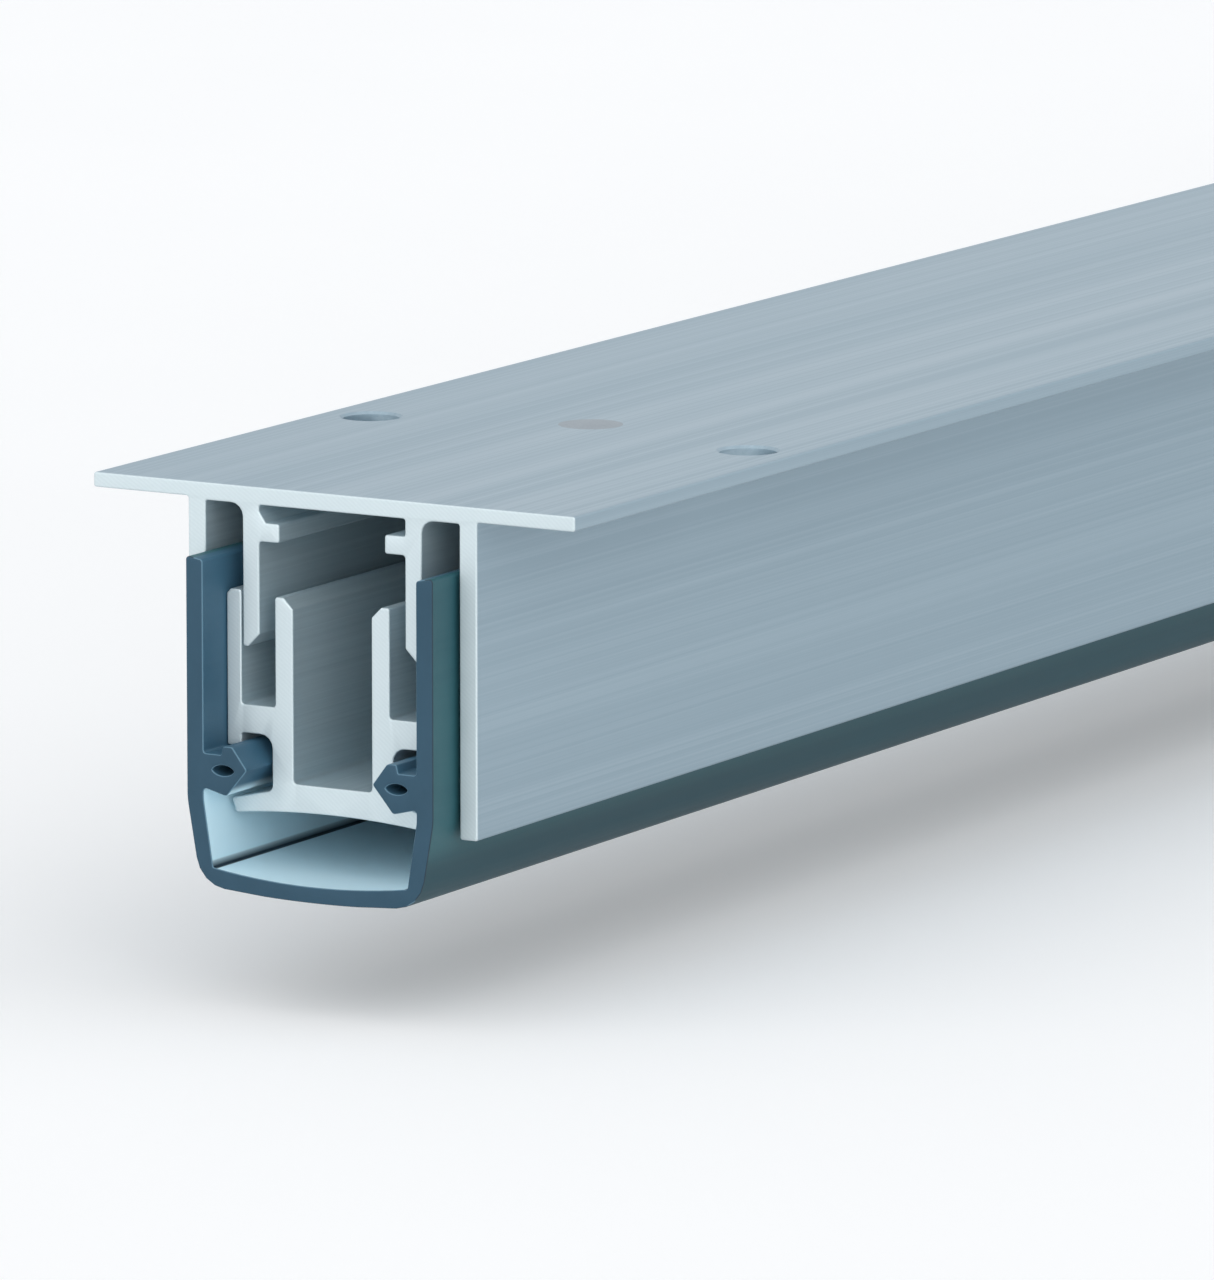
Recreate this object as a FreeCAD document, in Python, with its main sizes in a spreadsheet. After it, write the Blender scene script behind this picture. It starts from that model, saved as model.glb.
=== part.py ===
import FreeCAD, Part
import math
import os
import Sketcher

# Automatic door bottom seal, to be fixed under a door leaf.
# X runs across the leaf, Y along the seal with the trigger at +Y, and Z up.
# The origin is the middle of the flange's top face, which lies against the leaf.
# The sealing rail hangs a little below its lifted place, at "drop_at_rest".

doc = FreeCAD.newDocument("door_bottom_seal")

SIZES = (
    # The fixed housing, an aluminium extrusion
    ("housing_length", 335.0, "length of the housing and of the rail"),
    ("flange_width", 25.0, "width of the top flange"),
    ("wing_thickness", 0.68, "thickness of the flange's two wings"),
    ("roof_thickness", 0.8, "thickness of the flange between the side walls"),
    ("housing_width", 15.0, "width over the side walls"),
    ("housing_height", 15.0, "height from the flange's top to the walls' ends"),
    ("side_wall", 0.9, "thickness of a side wall"),
    ("leg_spacing", 7.6, "room between the two guide legs"),
    ("leg_thickness", 0.85, "thickness of a guide leg"),
    ("leg_depth", 7.25, "depth of the legs' tips below the flange's top"),
    ("leg_chamfer", 0.6, "chamfer on the inner side of a leg's tip"),
    ("slot_radius", 0.6, "round corner where a leg meets the roof"),
    ("rod_slot_height", 0.8, "height of the slot that holds the push rod"),
    ("lug_gap", 5.5, "room between the lugs that carry the rod"),
    ("lug_thickness", 0.85, "thickness of a lug"),
    ("gusset_top", 0.2, "how far the gusset starts outside the leg's face"),
    ("gusset_foot", 0.35, "how far the gusset ends inside the leg's face"),
    ("screw_hole", 2.7, "diameter of a screw hole in the flange"),
    ("screw_spacing", 20.0, "distance between the two rows of screw holes"),
    ("screw_inset", 20.0, "distance of the end holes from the flange's end"),
    # The rail, an aluminium extrusion that slides up and down in the housing
    ("drop_at_rest", 2.0, "how far the rail hangs below its lifted place"),
    ("guide_gap", 0.1, "sliding gap between a guide leg and the rail's arm"),
    ("leg_tip_gap", 0.65, "gap under the legs' tips with the rail lifted"),
    ("lug_gap_below", 0.45, "gap under the lugs with the rail lifted"),
    ("channel_width", 4.1, "width of the rail's middle channel"),
    ("channel_wall", 0.93, "thickness of the channel's walls"),
    ("channel_chamfer", 0.5, "chamfer on the channel side of its walls"),
    ("arm_thickness", 0.75, "thickness of the rail's outer arms"),
    ("arm_rise", 0.2, "how much higher the arms end than the channel walls"),
    ("arm_chamfer", 0.2, "chamfer on the outer side of an arm"),
    ("web_thickness", 1.3, "thickness of the web between arm and wall"),
    ("groove_height", 2.5, "height of the clip groove at its inner end"),
    ("groove_wall", 1.1, "thickness of the wall between groove and channel"),
    ("groove_radius", 0.6, "round upper corner of the clip groove"),
    ("groove_foot_radius", 0.3, "round lower corner of the clip groove"),
    ("lip_depth", 0.6, "how far an arm's lip hangs below the groove's ceiling"),
    ("base_width", 10.6, "width of the rail's base plate"),
    ("base_slope", 0.5, "fall of the base plate's upper side to its edge"),
    ("base_edge", 0.65, "thickness of the base plate's edge"),
    ("base_undercut", 0.25, "slant of the base plate's edge"),
    ("base_arch", 0.3, "rise of the arched underside"),
    ("floor_rise", 0.4, "height of the channel's floor above the groove's"),
    # The seal lip, a silicone extrusion clipped into the rail
    ("lip_overhang", 2.0, "how far the lip stands out past the rail's ends"),
    ("lip_wall_gap", 0.2, "gap between the lip and the housing's wall"),
    ("lip_arm_gap", 0.05, "gap between the lip and the rail's arm"),
    ("lip_top_gap", 0.2, "gap over the lip with the rail lifted"),
    ("lip_top_slant", 0.15, "slant of the lip's upper edges"),
    ("lip_straight", 11.0, "height of the lip's upright part"),
    ("lip_height", 15.2, "height of the whole lip"),
    ("lip_lean", 0.68, "how far the lip's sides lean in towards its corners"),
    ("lip_crown", 0.3, "bulge of the lip's underside"),
    ("lip_bottom", 0.75, "thickness of the lip's bottom"),
    ("lip_corner_radius", 1.6, "outer radius of the lip's lower corners"),
    ("lip_crease_radius", 0.35, "inner radius of the lip's lower corners"),
    ("lip_crease_rise", 0.0875, "how much more the bottom bulges inside than outside"),
    ("clip_gap", 0.1, "gap between a clip's neck and the arm's lip"),
    ("clip_top_gap", 0.3, "gap over a clip in its groove"),
    ("clip_side_gap", 0.25, "gap between a clip's shoulder and the arm"),
    ("clip_tip_gap", 0.13, "gap between a clip's tip and the groove's wall"),
    ("clip_shoulder", 0.46, "width of a clip's shoulder"),
    ("clip_neck", 1.55, "height of a clip's neck"),
    ("clip_foot", 1.06, "distance from a clip's tip to its lower corner"),
    ("clip_foot_depth", 1.25, "fall from a clip's tip to its lower corner"),
    ("clip_tip_depth", 1.0, "fall from a clip's shoulder to its tip"),
    ("hollow_width", 1.15, "width of the hollow in a clip"),
    ("hollow_height", 0.5, "height of the hollow in a clip"),
    ("hollow_offset", 0.1, "how far the hollow lies outside and below the clip's tip"),
    # The push rod and the blocks that it joins
    ("rod_width", 6.6, "width of the push rod"),
    ("rod_gap", 0.1, "gap above and below the push rod"),
    ("rod_tail", 10.0, "length of the rod past the first block"),
    ("rod_lift_travel", 1.2, "way of the rod from rest to the lifted place"),
    ("rod_drop_travel", 3.0, "way of the rod from rest to the lowest place"),
    ("slot_play", 0.2, "spare length at each end of a slot"),
    ("slot_end_spare", 0.001, "how much a slot end's radius is over half its width"),
    ("boss_diameter", 3.0, "diameter of a fixed block's boss"),
    ("boss_gap", 0.2, "gap between a boss and the sides of its slot"),
    ("block_length", 10.0, "length of a spring block"),
    ("block_side_gap", 0.15, "gap between a block and the lugs"),
    ("block_foot", 0.6, "height of a block below the lugs"),
    ("channel_gap", 0.2, "gap between a block and the channel's walls"),
    ("first_block_inset", 23.0, "distance of the first block from the end"),
    ("spring_pitch", 125.0, "distance from one spring to the next"),
    # Rivets
    ("rivet_diameter", 2.0, "diameter of a rivet's shank"),
    ("rivet_head", 3.0, "diameter of a rivet's flush head"),
    ("rivet_tail", 2.8, "diameter of a rivet's formed head"),
    ("rivet_tail_height", 0.5, "height of a rivet's formed head"),
    ("rivet_gap", 0.03, "gap between a rivet and its hole"),
    ("rivet_reach", 1.8, "depth of a blind rivet in its block"),
    # Leaf springs and the shoes that carry the rail
    ("spring_span", 90.0, "distance between a spring's two end rivets"),
    ("spring_width", 3.2, "width of a leaf spring"),
    ("spring_thickness", 0.3, "thickness of a leaf spring"),
    ("spring_tail", 4.0, "flat length on each side of a spring's end rivet"),
    ("spring_seat", 3.6, "half length of a spring's flat middle"),
    ("shoe_gap", 0.1, "gap around a shoe in the channel"),
    ("shoe_height", 2.45, "height of a shoe"),
    ("shoe_heel", 4.0, "length of a shoe from its rivet towards -Y"),
    ("shoe_toe", 9.0, "length of a shoe from its rivet towards +Y"),
    ("shoe_round", 0.8, "round upper corners of a shoe"),
    ("shoe_rivet_depth", 1.4, "depth of a shoe's rivet in the shoe"),
    ("shoe_lift_travel", 0.6, "way of a shoe from rest to the lifted place"),
    ("shoe_drop_travel", 1.5, "way of a shoe from rest to the lowest place"),
    ("pin_diameter", 1.2, "diameter of a shoe's cross pin"),
    ("pin_offset", 5.2, "distance of a pin from its shoe's rivet"),
    ("pin_height", 1.1, "height of a pin's middle above a shoe's underside"),
    ("pin_gap", 0.05, "gap around a pin in the shoe's slot"),
    ("pin_set_back", 0.05, "how far a pin ends inside the groove's wall"),
    # The trigger at the +Y end
    ("spindle_depth", 5.2, "depth of the spindle's axis below the flange's top"),
    ("spindle_diameter", 3.0, "outer diameter of the spindle's thread"),
    ("spindle_point", 0.4, "chamfer on the spindle's inner end"),
    ("thread_gap", 0.05, "gap between the spindle and the drive block"),
    ("drive_block_length", 12.0, "length of the drive block"),
    ("drive_block_wall", 0.3, "thickness of the drive block under its thread"),
    ("drive_gap", 3.0, "room between the drive block and the guide"),
    ("guide_length", 15.0, "length of the trigger guide"),
    ("guide_set_back", 1.5, "how far the guide ends inside the housing"),
    ("guide_side_gap", 0.15, "gap between the guide and the housing's legs"),
    ("guide_top_gap", 0.05, "gap between the guide and the lugs"),
    ("guide_bore_gap", 0.15, "gap between the spindle and the guide's bore"),
    ("guide_wall", 0.55, "thickness of the guide under its bore"),
    ("guide_chamfer", 0.6, "chamfer on the guide's lower edges"),
    ("notch_gap", 0.5, "gap under the guide with the rail lifted"),
    ("notch_spare", 1.0, "length of the rail's notch past the guide"),
    ("button_diameter", 6.5, "diameter of the trigger button"),
    ("button_length", 10.0, "length of the trigger button"),
    ("button_gap", 4.5, "distance of the button from the housing's end"),
    ("button_chamfer", 0.7, "chamfer on the button's outer edge"),
    ("button_neck", 1.6, "thickness of the button's inner wall"),
    ("head_diameter", 4.4, "diameter of the spindle's head"),
    ("head_length", 3.0, "length of the spindle's head"),
    ("head_gap", 0.08, "gap around the spindle's head in the button"),
    ("key_width", 2.0, "width across the flats of the spindle's hex socket"),
    ("key_depth", 1.8, "depth of the hex socket"),
    ("key_hole", 3.0, "diameter of the button's key hole"),
    ("adjust_in", 1.0, "how far the spindle can be screwed in from rest"),
)

sheet = doc.addObject("Spreadsheet::Sheet", "Size")
for row, (alias, size, meaning) in enumerate(SIZES, 1):
    sheet.set(f"A{row}", meaning)
    sheet.set(f"B{row}", str(size))
    sheet.setAlias(f"B{row}", alias)
doc.recompute()
SAME_PLACE = 1e-4  # distance at which two places count as one, in millimetres


def number(expression):
    """Value in millimetres of an expression on the sheet."""
    return float(sheet.evalExpression(expression))


# Places that several pieces share, as expressions on the sheet.
# Those that end in _x are distances from the middle plane, the others heights.
half_length = "Size.housing_length / 2"
roof_under = "(-Size.roof_thickness)"
lug_top = f"({roof_under} - Size.rod_slot_height)"
lug_under = f"({lug_top} - Size.lug_thickness)"
lug_tip_x = "(Size.lug_gap / 2)"
leg_inner_x = "(Size.leg_spacing / 2)"
leg_outer_x = f"({leg_inner_x} + Size.leg_thickness)"
wall_outer_x = "(Size.housing_width / 2)"
wall_inner_x = f"({wall_outer_x} - Size.side_wall)"

channel_x = "(Size.channel_width / 2)"
channel_wall_x = f"({channel_x} + Size.channel_wall)"
channel_top = f"({lug_under} - Size.lug_gap_below - Size.drop_at_rest)"
arm_inner_x = f"({leg_outer_x} + Size.guide_gap)"
arm_outer_x = f"({arm_inner_x} + Size.arm_thickness)"
arm_top = f"({channel_top} + Size.arm_rise)"
slot_floor = "(-Size.leg_depth - Size.leg_tip_gap - Size.drop_at_rest)"
groove_top = f"({slot_floor} - Size.web_thickness)"
groove_foot = f"({groove_top} - Size.groove_height)"
groove_x = f"({channel_x} + Size.groove_wall)"
arm_lip_under = f"({groove_top} - Size.lip_depth)"
base_tip_x = "(Size.base_width / 2)"
base_tip_top = f"({groove_foot} - Size.base_slope)"
base_tip_under = f"({base_tip_top} - Size.base_edge)"
channel_floor = f"({groove_foot} + Size.floor_rise)"

rod_top = f"({roof_under} - Size.rod_gap)"
rod_under = f"({lug_top} + Size.rod_gap)"
block_under = f"({lug_under} - Size.block_foot)"
foot_x = f"({channel_x} - Size.channel_gap)"
spring_under = f"({block_under} - Size.spring_thickness)"
shoe_under = f"({channel_floor} + Size.shoe_gap)"
shoe_top = f"({shoe_under} + Size.shoe_height)"
pin_level = f"({shoe_under} + Size.pin_height)"

# Places along the seal
first_anchor = f"(Size.first_block_inset - {half_length})"
anchor_places = [first_anchor, f"({first_anchor} + Size.spring_pitch)"]
guide_outer = f"({half_length} - Size.guide_set_back)"
guide_inner = f"({guide_outer} - Size.guide_length)"
drive_outer = f"({guide_inner} - Size.drive_gap)"
drive_inner = f"({drive_outer} - Size.drive_block_length)"
drive_middle = f"(({drive_inner} + {drive_outer}) / 2)"
button_inner = f"({half_length} + Size.button_gap)"
spindle_level = "(-Size.spindle_depth)"
guide_bore = "(Size.spindle_diameter + Size.guide_bore_gap * 2)"
guide_under = f"({spindle_level} - {guide_bore} / 2 - Size.guide_wall)"
guide_rivet_place = f"(({guide_inner} + {guide_outer}) / 2)"
guide_rivet_end = f"({spindle_level} + {guide_bore} / 2 + Size.guide_wall)"
drive_rivet_end = f"({rod_under} - Size.rivet_reach)"
rivet_bore = "(Size.rivet_diameter + Size.rivet_gap * 2)"


def slide_place(anchor):
    """Place along the seal of the sliding block of the spring that starts at an anchor."""
    return f"({anchor} + Size.spring_span)"


def shoe_place(anchor):
    """Place along the seal of the rivet between a spring and its shoe."""
    return f"({anchor} + Size.spring_span / 2)"


def pin_place(anchor):
    """Place along the seal of the cross pin in the shoe of a spring."""
    return f"({shoe_place(anchor)} + Size.pin_offset)"


def new_body(label):
    """A body that takes its name and its file's name from the label."""
    body = doc.addObject("PartDesign::Body", label)
    body.Label = label
    return body


def new_sketch(body, role, name):
    """An empty sketch on one of the body's origin planes."""
    plane = next(each for each in body.Origin.OriginFeatures if each.Role == role)
    sketch = body.newObject("Sketcher::SketchObject", name)
    sketch.AttachmentSupport = [(plane, "")]
    sketch.MapMode = "FlatFace"
    return sketch


def hold_point(sketch, geometry, end, across, up):
    """Hold one point of a sketch at two expressions, measured from the origin."""
    for kind, axis, expression in (("DistanceX", -2, across), ("DistanceY", -1, up)):
        if expression == "0":
            sketch.addConstraint(Sketcher.Constraint("PointOnObject", geometry, end, axis))
            continue
        rule = Sketcher.Constraint(kind, -1, 1, geometry, end, number(expression))
        sketch.setExpression(f"Constraints[{sketch.addConstraint(rule)}]", expression)


def arc_between(start, stop, radius):
    """The short arc from start to stop. A positive radius turns left, a negative one right."""
    chord = stop - start
    to_centre = math.sqrt(radius * radius - chord.Length * chord.Length / 4)
    left = FreeCAD.Vector(-chord.y, chord.x, 0).normalize()
    centre = (start + stop) * 0.5 + left * math.copysign(to_centre, radius)
    first, last = (start, stop) if radius > 0 else (stop, start)
    circle = Part.Circle(centre, FreeCAD.Vector(0, 0, 1), abs(radius))
    return Part.ArcOfCircle(circle, circle.parameter(first), circle.parameter(last))


def draw_outline(sketch, outline, closed=True):
    """Draw an outline whose entries are (across, up) or (across, up, radius).
    The entries are expressions on the sheet, and a radius makes an arc of the
    stretch that follows it. Closed outlines run counter-clockwise."""
    points = [FreeCAD.Vector(number(entry[0]), number(entry[1]), 0) for entry in outline]
    stretches = len(points) if closed else len(points) - 1
    first = sketch.GeometryCount
    ends = []
    for index in range(stretches):
        start = points[index]
        stop = points[(index + 1) % len(points)]
        radius = number(outline[index][2]) if len(outline[index]) > 2 else 0
        if radius:
            sketch.addGeometry(arc_between(start, stop, radius))
        else:
            sketch.addGeometry(Part.LineSegment(start, stop))
        ends.append((1, 2) if radius >= 0 else (2, 1))
    for index in range(stretches if closed else stretches - 1):
        following = (index + 1) % stretches
        sketch.addConstraint(Sketcher.Constraint(
            "Coincident", first + index, ends[index][1], first + following, ends[following][0]))
    for index in range(stretches):
        entry = outline[index]
        hold_point(sketch, first + index, ends[index][0], entry[0], entry[1])
        if len(entry) > 2:
            radius = abs(number(entry[2]))
            rule = sketch.addConstraint(Sketcher.Constraint("Radius", first + index, radius))
            sketch.setExpression(f"Constraints[{rule}]", f"abs({entry[2]})")
    if not closed:
        hold_point(sketch, first + stretches - 1, ends[-1][1], outline[-1][0], outline[-1][1])


def draw_circle(sketch, across, up, diameter):
    """Draw a circle round a point that is given by two expressions."""
    middle = FreeCAD.Vector(number(across), number(up), 0)
    circle = Part.Circle(middle, FreeCAD.Vector(0, 0, 1), number(diameter) / 2)
    geometry = sketch.addGeometry(circle)
    hold_point(sketch, geometry, 3, across, up)
    rule = sketch.addConstraint(Sketcher.Constraint("Diameter", geometry, number(diameter)))
    sketch.setExpression(f"Constraints[{rule}]", diameter)


def extrude(body, kind, sketch, length, side="Symmetric", reverse=False):
    """A Pad or a Pocket of a sketch: both ways from its plane, or to one side."""
    feature = body.newObject(f"PartDesign::{kind}", f"{body.Label}_{kind}")
    feature.Profile = sketch
    feature.SideType = side
    feature.Reversed = reverse
    feature.setExpression("Length", length)
    return feature


def revolve(body, sketch, axis="V_Axis"):
    """A full turn of a sketch round one of its own axes."""
    feature = body.newObject("PartDesign::Revolution", f"{body.Label}_Revolution")
    feature.Profile = sketch
    feature.ReferenceAxis = (sketch, [axis])
    feature.Angle = 360
    return feature


def round_edges(body, base, places, radius):
    """Round the edges along Y that pass through the given (x, z) places."""
    doc.recompute()
    names = []
    for index, edge in enumerate(base.Shape.Edges, 1):
        for x, z in places:
            if all(abs(v.X - number(x)) + abs(v.Z - number(z)) < SAME_PLACE for v in edge.Vertexes):
                names.append(f"Edge{index}")
    fillet = body.newObject("PartDesign::Fillet", f"{body.Label}_Fillet")
    fillet.Base = (base, names)
    fillet.setExpression("Radius", radius)
    return fillet


def mirrored(half_outline):
    """The left half of a symmetric outline, in the order that closes the right half."""
    return [(f"(-{x})", z) for x, z in reversed(half_outline)]


def mirror_places(places):
    """The given (x, z) places and their mirror images."""
    return list(places) + [(f"(-{x})", z) for x, z in places]


def sink_holes(body, base, places, diameter, head=None, level="0"):
    """Holes down from a level of the body, countersunk where a head is given."""
    doc.recompute()
    sketch = new_sketch(body, "XY_Plane", f"{body.Label}_hole_places")
    sketch.setExpression("AttachmentOffset.Base.z", level)
    for x, y in places:
        draw_circle(sketch, x, y, diameter)
    doc.recompute()
    hole = body.newObject("PartDesign::Hole", f"{body.Label}_Hole")
    hole.Profile = sketch
    doc.recompute()
    hole.ThreadType = "None"
    hole.DepthType = "ThroughAll"
    hole.DrillPoint = "Flat"
    hole.setExpression("Diameter", diameter)
    if head:
        hole.HoleCutType = "Countersink"
        hole.HoleCutCustomValues = True
        hole.HoleCutCountersinkAngle = 90
        hole.setExpression("HoleCutDiameter", head)
    doc.recompute()
    if hole.Shape.Volume >= base.Shape.Volume:
        raise RuntimeError(f"the holes of {body.Label} cut nothing")
    return hole


def make_housing():
    """The extrusion that is screwed under the leaf: flange, side walls and guide legs."""
    body = new_body("housing")
    half = [
        (wall_outer_x, "(-Size.housing_height)"),
        (wall_outer_x, "(-Size.wing_thickness)"),
        ("(Size.flange_width / 2)", "(-Size.wing_thickness)"),
        ("(Size.flange_width / 2)", "0"),
    ]
    inside = [
        (leg_inner_x, roof_under),
        (leg_inner_x, lug_top),
        (lug_tip_x, lug_top),
        (lug_tip_x, lug_under),
        (leg_inner_x, lug_under),
        (leg_inner_x, "(-Size.leg_depth + Size.leg_chamfer)"),
        (f"({leg_inner_x} + Size.leg_chamfer)", "(-Size.leg_depth)"),
        (leg_outer_x, "(-Size.leg_depth)"),
        (leg_outer_x, roof_under),
        (wall_inner_x, roof_under),
        (wall_inner_x, "(-Size.housing_height)"),
    ]
    sketch = new_sketch(body, "XZ_Plane", "housing_section")
    draw_outline(sketch, inside + half + mirrored(half) + mirrored(inside))
    extrude(body, "Pad", sketch, "Size.housing_length")

    gusset_sketch = new_sketch(body, "XZ_Plane", "housing_gusset")
    draw_outline(gusset_sketch, [
        (f"(-{leg_inner_x} - Size.gusset_top)", roof_under),
        (f"(-{leg_inner_x} - Size.gusset_top)", lug_top),
        (f"(-{leg_inner_x} + Size.gusset_foot)", lug_top),
    ])
    gusset = extrude(body, "Pad", gusset_sketch, "Size.housing_length")
    rounded = round_edges(
        body, gusset, mirror_places([(leg_outer_x, roof_under)]), "Size.slot_radius")

    screw_x = "(Size.screw_spacing / 2)"
    end_y = f"({half_length} - Size.screw_inset)"
    screw_places = [(f"({x})", y) for x in (f"-{screw_x}", screw_x) for y in (f"(-{end_y})", "0", end_y)]
    drilled = sink_holes(body, rounded, screw_places, "Size.screw_hole")
    rivet_places = [("0", place) for place in anchor_places + [guide_rivet_place]]
    sink_holes(body, drilled, rivet_places, rivet_bore, "Size.rivet_head")
    return body


def make_carrier_rail():
    """The rail in the housing: middle channel, two slots for the legs and clip grooves."""
    body = new_body("carrier_rail")
    half = [
        (f"({base_tip_x} - Size.base_undercut)", base_tip_under),
        (base_tip_x, base_tip_top),
        (groove_x, groove_foot),
        (groove_x, groove_top),
        (arm_inner_x, groove_top),
        (arm_inner_x, arm_lip_under),
        (arm_outer_x, arm_lip_under),
        (arm_outer_x, f"({arm_top} - Size.arm_chamfer)"),
        (f"({arm_outer_x} - Size.arm_chamfer)", arm_top),
        (arm_inner_x, arm_top),
        (arm_inner_x, slot_floor),
        (channel_wall_x, slot_floor),
        (channel_wall_x, channel_top),
        (f"({channel_x} + Size.channel_chamfer)", channel_top),
        (channel_x, f"({channel_top} - Size.channel_chamfer)"),
        (channel_x, channel_floor),
    ]
    outline = half + mirrored(half)
    half_chord = half[0][0]
    arch_radius = f"(-({half_chord} ^ 2 + Size.base_arch ^ 2) / (2 * Size.base_arch))"
    outline[-1] = outline[-1] + (arch_radius,)
    sketch = new_sketch(body, "XZ_Plane", "rail_section")
    draw_outline(sketch, outline)
    section = extrude(body, "Pad", sketch, "Size.housing_length")
    rounded = round_edges(
        body, section, mirror_places([(groove_x, groove_top)]), "Size.groove_radius")
    rounded = round_edges(
        body, rounded, mirror_places([(groove_x, groove_foot)]), "Size.groove_foot_radius")

    # The channel's walls end short of the trigger, to leave room for its guide.
    notch_start = f"({guide_inner} - Size.notch_spare)"
    notch_floor = f"({guide_under} - Size.drop_at_rest - Size.notch_gap)"
    notch_sketch = new_sketch(body, "YZ_Plane", "rail_notch")
    draw_outline(notch_sketch, [
        (notch_start, notch_floor),
        (f"({half_length} + Size.lip_overhang)", notch_floor),
        (f"({half_length} + Size.lip_overhang)", roof_under),
        (notch_start, roof_under),
    ])
    extrude(body, "Pocket", notch_sketch, f"({leg_inner_x} * 2)")

    pin_sketch = new_sketch(body, "YZ_Plane", "rail_pin_holes")
    for anchor in anchor_places:
        draw_circle(pin_sketch, pin_place(anchor), pin_level, "(Size.pin_diameter + Size.rivet_gap)")
    extrude(body, "Pocket", pin_sketch, f"({groove_x} * 2)")
    return body


def make_seal_lip():
    """The U-shaped silicone lip, held in the rail's grooves by two hollow clips."""
    body = new_body("seal_lip")
    lip_outer_x = f"({wall_inner_x} - Size.lip_wall_gap)"
    lip_inner_x = f"({arm_outer_x} + Size.lip_arm_gap)"
    lip_wall = f"({lip_outer_x} - {lip_inner_x})"
    lip_top = f"({roof_under} - Size.lip_top_gap - Size.drop_at_rest)"
    bend = f"({lip_top} - Size.lip_straight)"
    bottom = f"({lip_top} - Size.lip_height)"
    corner = f"({bottom} + Size.lip_crown)"
    corner_x = f"({lip_outer_x} - Size.lip_lean)"
    crease = f"({corner} + Size.lip_bottom + Size.lip_crease_rise)"
    crease_x = f"({corner_x} - {lip_wall} + Size.lip_wall_gap)"
    crease_crown = "(Size.lip_crown + Size.lip_crease_rise)"

    clip_top = f"({groove_top} - Size.clip_top_gap)"
    shoulder_x = f"({arm_inner_x} - Size.clip_side_gap)"
    clip_tip = f"({clip_top} - Size.clip_tip_depth)"
    clip_tip_x = f"({groove_x} + Size.clip_tip_gap)"
    neck_top = f"({arm_lip_under} - Size.clip_gap)"
    neck_foot = f"({neck_top} - Size.clip_neck)"
    half = [
        (corner_x, corner),
        (lip_outer_x, bend),
        (lip_outer_x, lip_top),
        (lip_inner_x, f"({lip_top} - Size.lip_top_slant)"),
        (lip_inner_x, neck_top),
        (f"({shoulder_x} + Size.clip_gap)", neck_top),
        (shoulder_x, clip_top),
        (f"({shoulder_x} - Size.clip_shoulder)", clip_top),
        (clip_tip_x, clip_tip),
        (f"({clip_tip_x} + Size.clip_foot)", f"({clip_tip} - Size.clip_foot_depth)"),
        (lip_inner_x, neck_foot),
        (lip_inner_x, bend),
        (crease_x, crease),
    ]
    outline = half + mirrored(half)
    outside_radius = f"(({corner_x} ^ 2 + Size.lip_crown ^ 2) / (2 * Size.lip_crown))"
    inside_radius = f"(-({crease_x} ^ 2 + {crease_crown} ^ 2) / (2 * {crease_crown}))"
    outline[-1] = outline[-1] + (outside_radius,)
    outline[len(half) - 1] = half[-1] + (inside_radius,)
    sketch = new_sketch(body, "XZ_Plane", "lip_section")
    draw_outline(sketch, outline)
    length = "(Size.housing_length + Size.lip_overhang * 2)"
    section = extrude(body, "Pad", sketch, length)
    rounded = round_edges(
        body, section, mirror_places([(corner_x, corner)]), "Size.lip_corner_radius")
    rounded = round_edges(
        body, rounded, mirror_places([(crease_x, crease)]), "Size.lip_crease_radius")

    hollow_sketch = new_sketch(body, "XZ_Plane", "lip_hollows")
    middle_x = f"(({clip_tip_x} + {lip_inner_x}) / 2 + Size.hollow_offset)"
    level = f"({clip_tip} - Size.hollow_offset)"
    lens_radius = (
        "((Size.hollow_width ^ 2 / 4 + Size.hollow_height ^ 2 / 4) / Size.hollow_height)")
    for side in ("", "-"):
        left = f"({side}{middle_x} - Size.hollow_width / 2)"
        right = f"({side}{middle_x} + Size.hollow_width / 2)"
        draw_outline(hollow_sketch, [(left, level, lens_radius), (right, level, lens_radius)])
    extrude(body, "Pocket", hollow_sketch, length)
    return body


def move_along(body, place):
    """Put a piece that is modelled round Y = 0 at its place along the seal."""
    body.setExpression("Placement.Base.y", place)


def drill(body, base, diameter, start, depth, down=True):
    """A round hole on the Z axis, from one height over a depth."""
    sketch = new_sketch(body, "XY_Plane", f"{body.Label}_hole_{len(body.Group)}")
    sketch.setExpression("AttachmentOffset.Base.z", start)
    draw_circle(sketch, "0", "0", diameter)
    hole = extrude(body, "Pocket", sketch, depth, "One side", not down)
    doc.recompute()
    if hole.Shape.Volume >= base.Shape.Volume:
        raise RuntimeError(f"a hole of {body.Label} cuts nothing")
    return hole


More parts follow.
